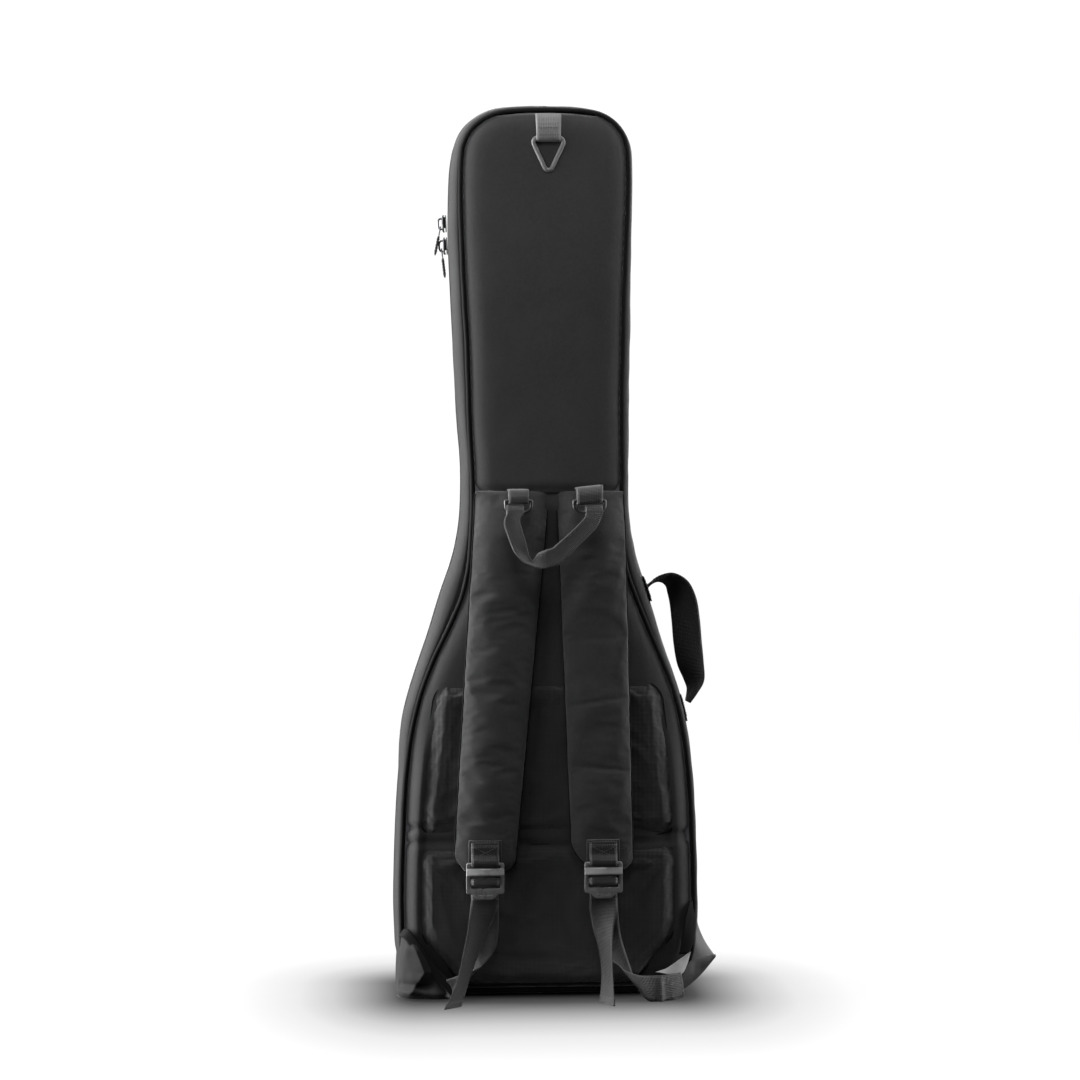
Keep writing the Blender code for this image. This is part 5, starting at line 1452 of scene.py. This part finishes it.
def lower_webbing():
    """Slack webbing from each bottom corner to behind its ladder lock."""
    half = WEBBING_HALF
    runs = {
        "left": [((-0.12, -0.068, 0.0165), (0.001, 0, 0.01)), ((-0.11, -0.0705, 0.018), (0.004, 0, 0.013)),
                 ((-0.096, -0.071, 0.026), (0.008, 0, 0.0125)), ((-0.084, -0.068, 0.04), (0.012, 0, 0.008)),
                 ((-0.0765, -0.064, 0.06), (half * 0.95, 0, 0.004)), ((-0.074, -0.0615, 0.09), (half, 0, 0)),
                 ((-0.0745, -0.0635, 0.127), (half, 0, 0))],
        "right": [((0.156, -0.068, 0.0165), (-0.002, 0, 0.0145)), ((0.143, -0.076, 0.0158), (0.0005, 0.003, 0.015)),
                  ((0.124, -0.081, 0.015), (-0.0015, 0.005, 0.0145)),
                  ((0.107, -0.082, 0.017), (-0.005, 0.005, 0.014)),
                  ((0.091, -0.078, 0.028), (-0.01, 0.003, 0.0115)), ((0.077, -0.069, 0.05), (-0.015, 0, 0.006)),
                  ((0.067, -0.062, 0.08), (-half, 0, 0.002)), ((0.0627, -0.0635, 0.127), (-half, 0, 0))],
    }
    for side, rows in runs.items():
        made = strap(f"lower_webbing_run_{side}", rows, 0.0013, count=140, across=11, cup=0.0014)
        pts = get_points(made)
        ripple = rough(pts, (0.02, 0.03, 0.05), 6.0, 2) * 0.0016
        ripple = ripple + 0.003 * np.exp(-(((pts[:, 0] - 0.129) / 0.0035) ** 2)) * ramp(-pts[:, 2], -0.036, -0.018)
        pts[:, 1] -= ripple * (1 - ramp(pts[:, 2], 0.07, 0.11))
        pts[:, 2] = np.maximum(pts[:, 2], 0.0006)
        set_points(made, pts)
        dress(made, "webbing_light", nodes=[f"lower_webbing_{side}"])
        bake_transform(made)


# ---- Zip sliders --------------------------------------------------------------------------------------------------
def zip_slider(name, middle, out, along, nose, lean, slider_body, pull_body):
    """A cast slider with its bridge, and its pull with a rubber grip."""
    out, along = Vector(out).normalized(), Vector(along).normalized()
    turn = Matrix((along.cross(out), along, out)).transposed().to_4x4()
    world = Matrix.Translation(Vector(middle)) @ turn
    top, bottom = (0.0065, 0.0042)[::nose]
    shield = rounded_outline([(-bottom, -0.01, 0.0022), (bottom, -0.01, 0.0022), (top, 0.01, 0.0026),
                              (-top, 0.01, 0.0026)], steps=6)
    pieces = []
    for low, high in ((0.0, 0.0012), (0.0034, 0.0054)):
        flat = plate(f"{name}_shield", [shield], low, high, bevel=0.0005)
        flat.data.transform(Matrix.Rotation(-math.pi / 2, 4, "X") @ Matrix.Scale(1, 4))
        flat.data.transform(Matrix(((1, 0, 0, 0), (0, -1, 0, 0), (0, 0, -1, 0), (0, 0, 0, 1))))
        pts = get_points(flat)
        mid = (pts[:, 2].min() + pts[:, 2].max()) / 2
        pts[:, 2] += (low + high) / 2 - mid
        if low > 0.001:
            pts[:, 2] -= 0.0012 * (np.abs(pts[:, 1]) / 0.01) ** 4
        set_points(flat, pts)
        pieces.append(tidy(flat))
    post = box_mesh(f"{name}_post", (-0.0012, -0.005, 0.0008), (0.0012, 0.008, 0.004), bevel=0.0004)
    pieces.append(post)
    arch = spline(np.array([(0, 0.0062, 0.0045), (0, 0.006, 0.0075), (0, 0.004, 0.0092), (0, 0.0, 0.0096),
                            (0, -0.004, 0.0092),
                            (0, -0.006, 0.0075), (0, -0.0062, 0.0045)]), 40)
    bridge = tube(f"{name}_bridge", arch, 0.0011, sides=10, up=(1, 0, 0))
    pieces.append(bridge)
    body = join(f"{name}_cast", *pieces)
    body.data.set_sharp_from_angle(angle=math.radians(45))
    body.data.transform(world)
    dress(body, "zip_metal", slider_body, nodes=[name])
    half = 0.0045
    tip = rounded_outline([(-half + 0.0008, -0.034, 0.003), (half - 0.0008, -0.034, 0.003), (half, 0.0009, 0.0018),
                           (-half, 0.0009, 0.0018)], steps=6)
    eye = rectangle(-0.0026, 0.0026, -0.0085, -0.0007, 0.0012, steps=5)
    pull = plate(f"{name}_pull_plate", [tip, eye], -0.0007, 0.0007, bevel=0.0004)
    grip_outline = rounded_outline([(-0.004, -0.0325, 0.0022), (0.004, -0.0325, 0.0022), (0.0042, -0.011, 0.0016),
                                    (-0.0042, -0.011, 0.0016)], steps=6)
    grip = plate(f"{name}_grip_plate", [grip_outline], -0.0013, 0.0013, bevel=0.0006)
    ribs = [bar(f"{name}_rib_{k}", [(-0.0018, z - 0.0007), (-0.0018, z + 0.0007), (0.0018, z + 0.0007),
                                    (0.0018, z - 0.0007)],
                -0.003, 0.003) for k, z in enumerate((-0.0285, -0.025, -0.0215, -0.018, -0.0145))]
    grip = join(f"{name}_grip", grip, *ribs)
    grip.data.set_sharp_from_angle(angle=math.radians(50))
    # plates are built upright in XZ; lay them in the slider's frame, along Y and thick along Z
    lay = Matrix(((1, 0, 0, 0), (0, 0, 1, 0), (0, -1, 0, 0), (0, 0, 0, 1)))
    place = world @ Matrix.Translation((0, -0.0035, 0.007)) @ Matrix.Rotation(math.radians(-lean), 4, "X") @ lay
    for piece, mat in ((pull, "zip_metal"), (grip, "base_rubber")):
        piece.data.transform(place)
        tidy(piece)
        dress(piece, mat, pull_body)
    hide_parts(name.replace("slider", "pull"))


def all_sliders():
    """Two sliders on the straight part of the main zip, and one on each pocket."""
    def wall_at(z):
        k = (z - 0.6) / 0.335
        x = 0.088 + 0.0055 * k + float(smooth_table(WIDEN[-1], z))
        b = float(bulge(-x, z)) + 0.0021
        n = (math.sin(math.radians(89.06)), -math.cos(math.radians(89.06)))
        return x + n[0] * b, z + n[1] * b
    lo, hi = wall_at(0.6 + 0.335 * 3 / 6), wall_at(0.6 + 0.335 * 5 / 6)
    d = Vector((-(hi[0] - lo[0]), 0, hi[1] - lo[1])).normalized()
    out = Vector((-d.z, 0, d.x))
    for label, z, nose, lean in (("upper", 0.905, -1, 14.0), ("lower", 0.879, 1, -4.0)):
        x = -(lo[0] + (hi[0] - lo[0]) * (z - lo[1]) / (hi[1] - lo[1]))
        zip_slider(f"main_slider_{label}", (x, SPLIT_Y, z), out, d, nose, lean, f"main_slider_{label}",
                   f"main_pull_{label}")
    zip_slider("pocket_slider", (0.065, 0.065, 0.3318), (0, 0, 1), (1, 0, 0), 1, 0.0, "pocket_slider", "pocket_pull")
    zip_slider("neck_pocket_slider", (-0.04, 0.0488, 0.89), (0, 1, 0), (0, 0, 1), 1, 0.0, "neck_pocket_slider",
               "neck_pocket_pull")


# ---- Pockets on the lid -------------------------------------------------------------------------------------------
POCKET_CORNERS = [(-0.128, 0.045, 0.035), (0.128, 0.045, 0.035), (0.118, 0.33, 0.035), (-0.118, 0.33, 0.035)]


def accessory_pocket():
    """The raised pocket: its wall, its zip round three sides and its padded cover."""
    outline = resample(rounded_outline(POCKET_CORNERS, steps=16), 420, closed=True)
    t = np.roll(outline, -1, 0) - np.roll(outline, 1, 0)
    t /= np.linalg.norm(t, axis=1)[:, None]
    n = np.stack([t[:, 1], -t[:, 0]], axis=1)
    rows = []
    for y, off in ((0.047, 0.0012), (0.0485, 0.0003), (0.052, 0.0009), (0.057, 0.0014), (0.061, 0.001),
                   (0.064, 0.0004),
                   (0.0658, 0.0), (0.0658, -0.003)):
        pt = upright(outline + n * off, y)
        if 0.048 < y < 0.064:
            shift = rough(pt, (0.03, 0.03, 0.03), 3.0, 2) * 0.0006
            pt[:, [0, 2]] += n * shift[:, None]
        rows.append(pt)
    wall = tidy(grid("pocket_wall_cloth", np.array(rows).transpose(1, 0, 2), closed_u=True))
    solidify(wall, 0.0011)
    dress(wall, "gusset_fabric", "lid", nodes=["pocket_wall"])
    dress(tube("pocket_base_piping", upright(outline + n * 0.001, 0.0462), 0.0016, closed=True, sides=10), "piping",
          "lid")

    zipped = [i for i in range(420) if outline[i, 1] > 0.075]
    start = next(k for k, i in enumerate(zipped) if (i - 1) % 420 not in zipped)
    zipped = zipped[start:] + zipped[:start]
    for label, ys in (("low", (0.0592, 0.06, 0.0618, 0.0622)), ("high", (0.0632, 0.0636, 0.065, 0.0656))):
        rows = [upright((outline + n * o)[zipped], y) for y, o in zip(ys, (0.0012, 0.0019, 0.0019, 0.0018))]
        uv = np.stack(np.meshgrid(np.arange(len(zipped)) * 0.002, np.array(ys), indexing="ij"), axis=-1)[..., ::-1]
        tape = tidy(grid(f"pocket_zip_tape_{label}", np.array(rows).transpose(1, 0, 2), uv=uv))
        solidify(tape, 0.0006, 0)
        dress(tape, "zipper", "lid", nodes=["pocket_zipper_track"] if label == "low" else ())
    teeth("pocket_zip_teeth", upright((outline + n * 0.0023)[zipped], 0.0627), 1, "lid", 0.0026, 0.0,
          half=(0.0006, 0.0016, 0.0007))

    # cover: a padded panel with a piped edge and a stitched channel across
    shape = rounded_outline(POCKET_CORNERS, steps=14)

    def surface(x, z, d):
        pts = flat_points(x, z)
        up = 0.005 * (1 - np.exp(-d / 0.006)) + 0.0006 * ramp(d, 0.01, 0.06)
        seam = np.exp(-(((z - 0.255) / 0.0016) ** 2)) * 0.0022
        return 0.0675 + up - seam + rough(pts, (0.06, 1, 0.05), 21.0, 3) * 0.0005 * ramp(d, 0, 0.02)

    cover, held = padded_plate("pocket_cover_pad", shape, 130, 110, surface, 0.0665)
    inflate(cover, held, pressure=-1.0, cap=0.0012, grow=0.01, steps=12)
    dress(cover, "cover_fabric", "pocket_cover", nodes=["pocket_cover"])
    dress(tube("pocket_cover_piping", upright(outline, 0.0684), 0.0018, closed=True, sides=10), "piping",
          "pocket_cover")
    line = np.linspace((-0.117, 0.0712, 0.2532), (0.117, 0.0712, 0.2532), 30)
    dress(stitches("pocket_cover_stitch", line, pitch=0.0036, length=0.0026), "thread_light", "pocket_cover")
    patch = box_mesh("pocket_badge", (-0.021, 0.0715, 0.284), (0.021, 0.0735, 0.3), bevel=0.0008)
    dress(patch, "base_rubber", "pocket_cover")


def neck_pocket():
    """The flat pocket on the neck with its upright zip."""
    low, high, half = 0.66, 0.93, 0.062
    shape = rectangle(-half, half, low, high, 0.025, steps=12)

    def surface(x, z, d):
        pts = flat_points(x, z)
        groove = np.exp(-(((x + 0.04) / 0.005) ** 4)) * ramp(z, 0.672, 0.676) * (1 - ramp(z, 0.914, 0.918))
        soft = rough(pts, (0.03, 1, 0.05), 31.0, 3) * 0.0003 * ramp(d, 0, 0.01)
        return 0.0466 + 0.0022 * (1 - np.exp(-d / 0.003)) - 0.0006 * groove + soft

    pad, _ = padded_plate("neck_pocket_cloth", shape, 120, 60, surface, 0.0458)
    dress(pad, "cover_fabric", "lid", nodes=["neck_pocket"])
    inset = rectangle(-half * 0.94, half * 0.94, low + 0.0036, high - 0.0036, 0.0215, steps=12)
    path = upright(resample(inset, 300, closed=True), 0.0489)
    dress(stitches("neck_pocket_stitch", path, pitch=0.0038, length=0.0028), "thread_light", "lid")
    zs = np.linspace(0.676, 0.914, 80)
    for label, sign in (("a", -1), ("b", 1)):
        xs = -0.04 + sign * np.array([0.001, 0.0024, 0.005, 0.0064])
        rows = [np.stack([np.full(80, x), np.full(80, y), zs], axis=1)
                for x, y in zip(xs, (0.0486, 0.0487, 0.0487, 0.0484))]
        uv = np.stack(np.meshgrid(zs, xs, indexing="ij"), axis=-1)[..., ::-1]
        tape = tidy(grid(f"neck_zip_tape_{label}", np.array(rows).transpose(1, 0, 2), uv=uv))
        solidify(tape, 0.0005, 0)
        dress(tape, "zipper", "lid")
    path = np.stack([np.full(80, -0.04), np.full(80, 0.0489), zs], axis=1)
    teeth("neck_zip_teeth", path, 0, "lid", 0.0026, 0.0, across=(1, 0, 0), half=(0.0006, 0.0018, 0.0006))


# ---- Inside -------------------------------------------------------------------------------------------------------
def liner(name, profile, body, nodes, floor_y, facing):
    """Plush lining: a padded wall round the inside, from (offset, y) rows, and its floor."""
    pts = np.array([upright(wall_line(off), y) for off, y in profile]).transpose(1, 0, 2)
    soft = rough(pts, (0.03, 0.03, 0.03), 15.0, 2) * 0.0007
    inner = wall_line(profile[-1][0])
    wall = grid(f"{name}_wall", pts + upright(NORMAL, 0.0)[:, None] * soft[..., None] * 0.5, closed_u=True)
    dress(solidify(tidy(wall), 0.0008, 0), "lining", body, nodes=nodes[1:])
    z = np.linspace(inner[:, 1].min() + 2e-4, inner[:, 1].max() - 2e-4, 160)
    low, high = spans(inner, z)
    u = np.linspace(-1, 1, 50)
    x = (low + high)[:, None] / 2 + (high - low)[:, None] / 2 * u[None]
    zz = np.repeat(z[:, None], 50, 1)
    p = flat_points(x, zz)
    p[..., 1] = floor_y + facing * rough(p, (0.05, 1, 0.05), 25.0, 2) * 0.0006
    floor = solidify(face_out(tidy(grid(f"{name}_floor", p)), (0, facing, 0)), 0.0008)
    dress(floor, "lining", body, nodes=nodes[:1])


def inside():
    """The linings of both halves, the block under the guitar's end and the neck cradle."""
    liner("bag_liner", [(-0.0019, 0.019), (-0.003, 0.01945), (-0.011, 0.01945), (-0.0152, 0.0185), (-0.016, 0.015),
                        (-0.016, -0.01),
                        (-0.0164, -0.02), (-0.0184, -0.0255), (-0.023, -0.027)], "bag",
                        ["back_lining", "gusset_lining"], -0.027, 1)
    liner("lid_liner", [(-0.0019, 0.0208), (-0.005, 0.0206), (-0.0068, 0.0216), (-0.0084, 0.0245), (-0.012, 0.0262),
                        (-0.018, 0.0266)],
          "lid", ["front_lining"], 0.0266, -1)
    bumper = box_mesh("end_bumper_pad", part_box("end_bumper")[0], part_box("end_bumper")[1], bevel=0.0055, segments=5)
    dress(bumper, "lining", "bag", nodes=["end_bumper"])
    lo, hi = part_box("neck_cradle")
    arm, notch, front, bed, back = 0.074, 0.03, 0.006, -0.012, lo[1]
    corners = [(-arm, back, 0.003), (arm, back, 0.003), (arm, front, 0.006), (notch, front, 0.006),
               (notch, bed, 0.006), (-notch, bed, 0.006),
               (-notch, front, 0.006), (-arm, front, 0.006)]
    cradle = plate("neck_cradle_pad", [eased_outline(corners)], -0.685, -0.615, bevel=0.004)
    # built upright in XZ and thick along Y: stand it so that its outline lies in XY
    cradle.data.transform(Matrix(((1, 0, 0, 0), (0, 0, 1, 0), (0, -1, 0, 0), (0, 0, 0, 1))))
    tidy(cradle)
    dress(cradle, "lining", "bag", nodes=["neck_cradle"])


def base_strips():
    """Ribbed rubber wear strips under the bag and the lid."""
    for node, body in (("base_panel", "bag"), ("front_base_panel", "lid")):
        lo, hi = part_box(node)
        pieces = [box_mesh(f"{node}_sheet", (lo[0], lo[1], 0.0006), hi, bevel=0.0005)]
        count = max(1, int((hi[1] - lo[1]) / 0.006))
        for k in range(count):
            y = lo[1] + (hi[1] - lo[1]) * (k + 0.5) / count
            pieces.append(box_mesh(f"{node}_rib_{k}", (lo[0] + 0.003, y - 0.0012, 0.0),
                                   (hi[0] - 0.003, y + 0.0012, 0.001), bevel=0.0003))
        made = join(f"{node}_ribbed", *pieces)
        made.data.set_sharp_from_angle(angle=math.radians(40))
        dress(made, "base_rubber", body, nodes=[node])


carry_handle()
corner_wings()
lower_webbing()
all_sliders()
accessory_pocket()
neck_pocket()
inside()
base_strips()
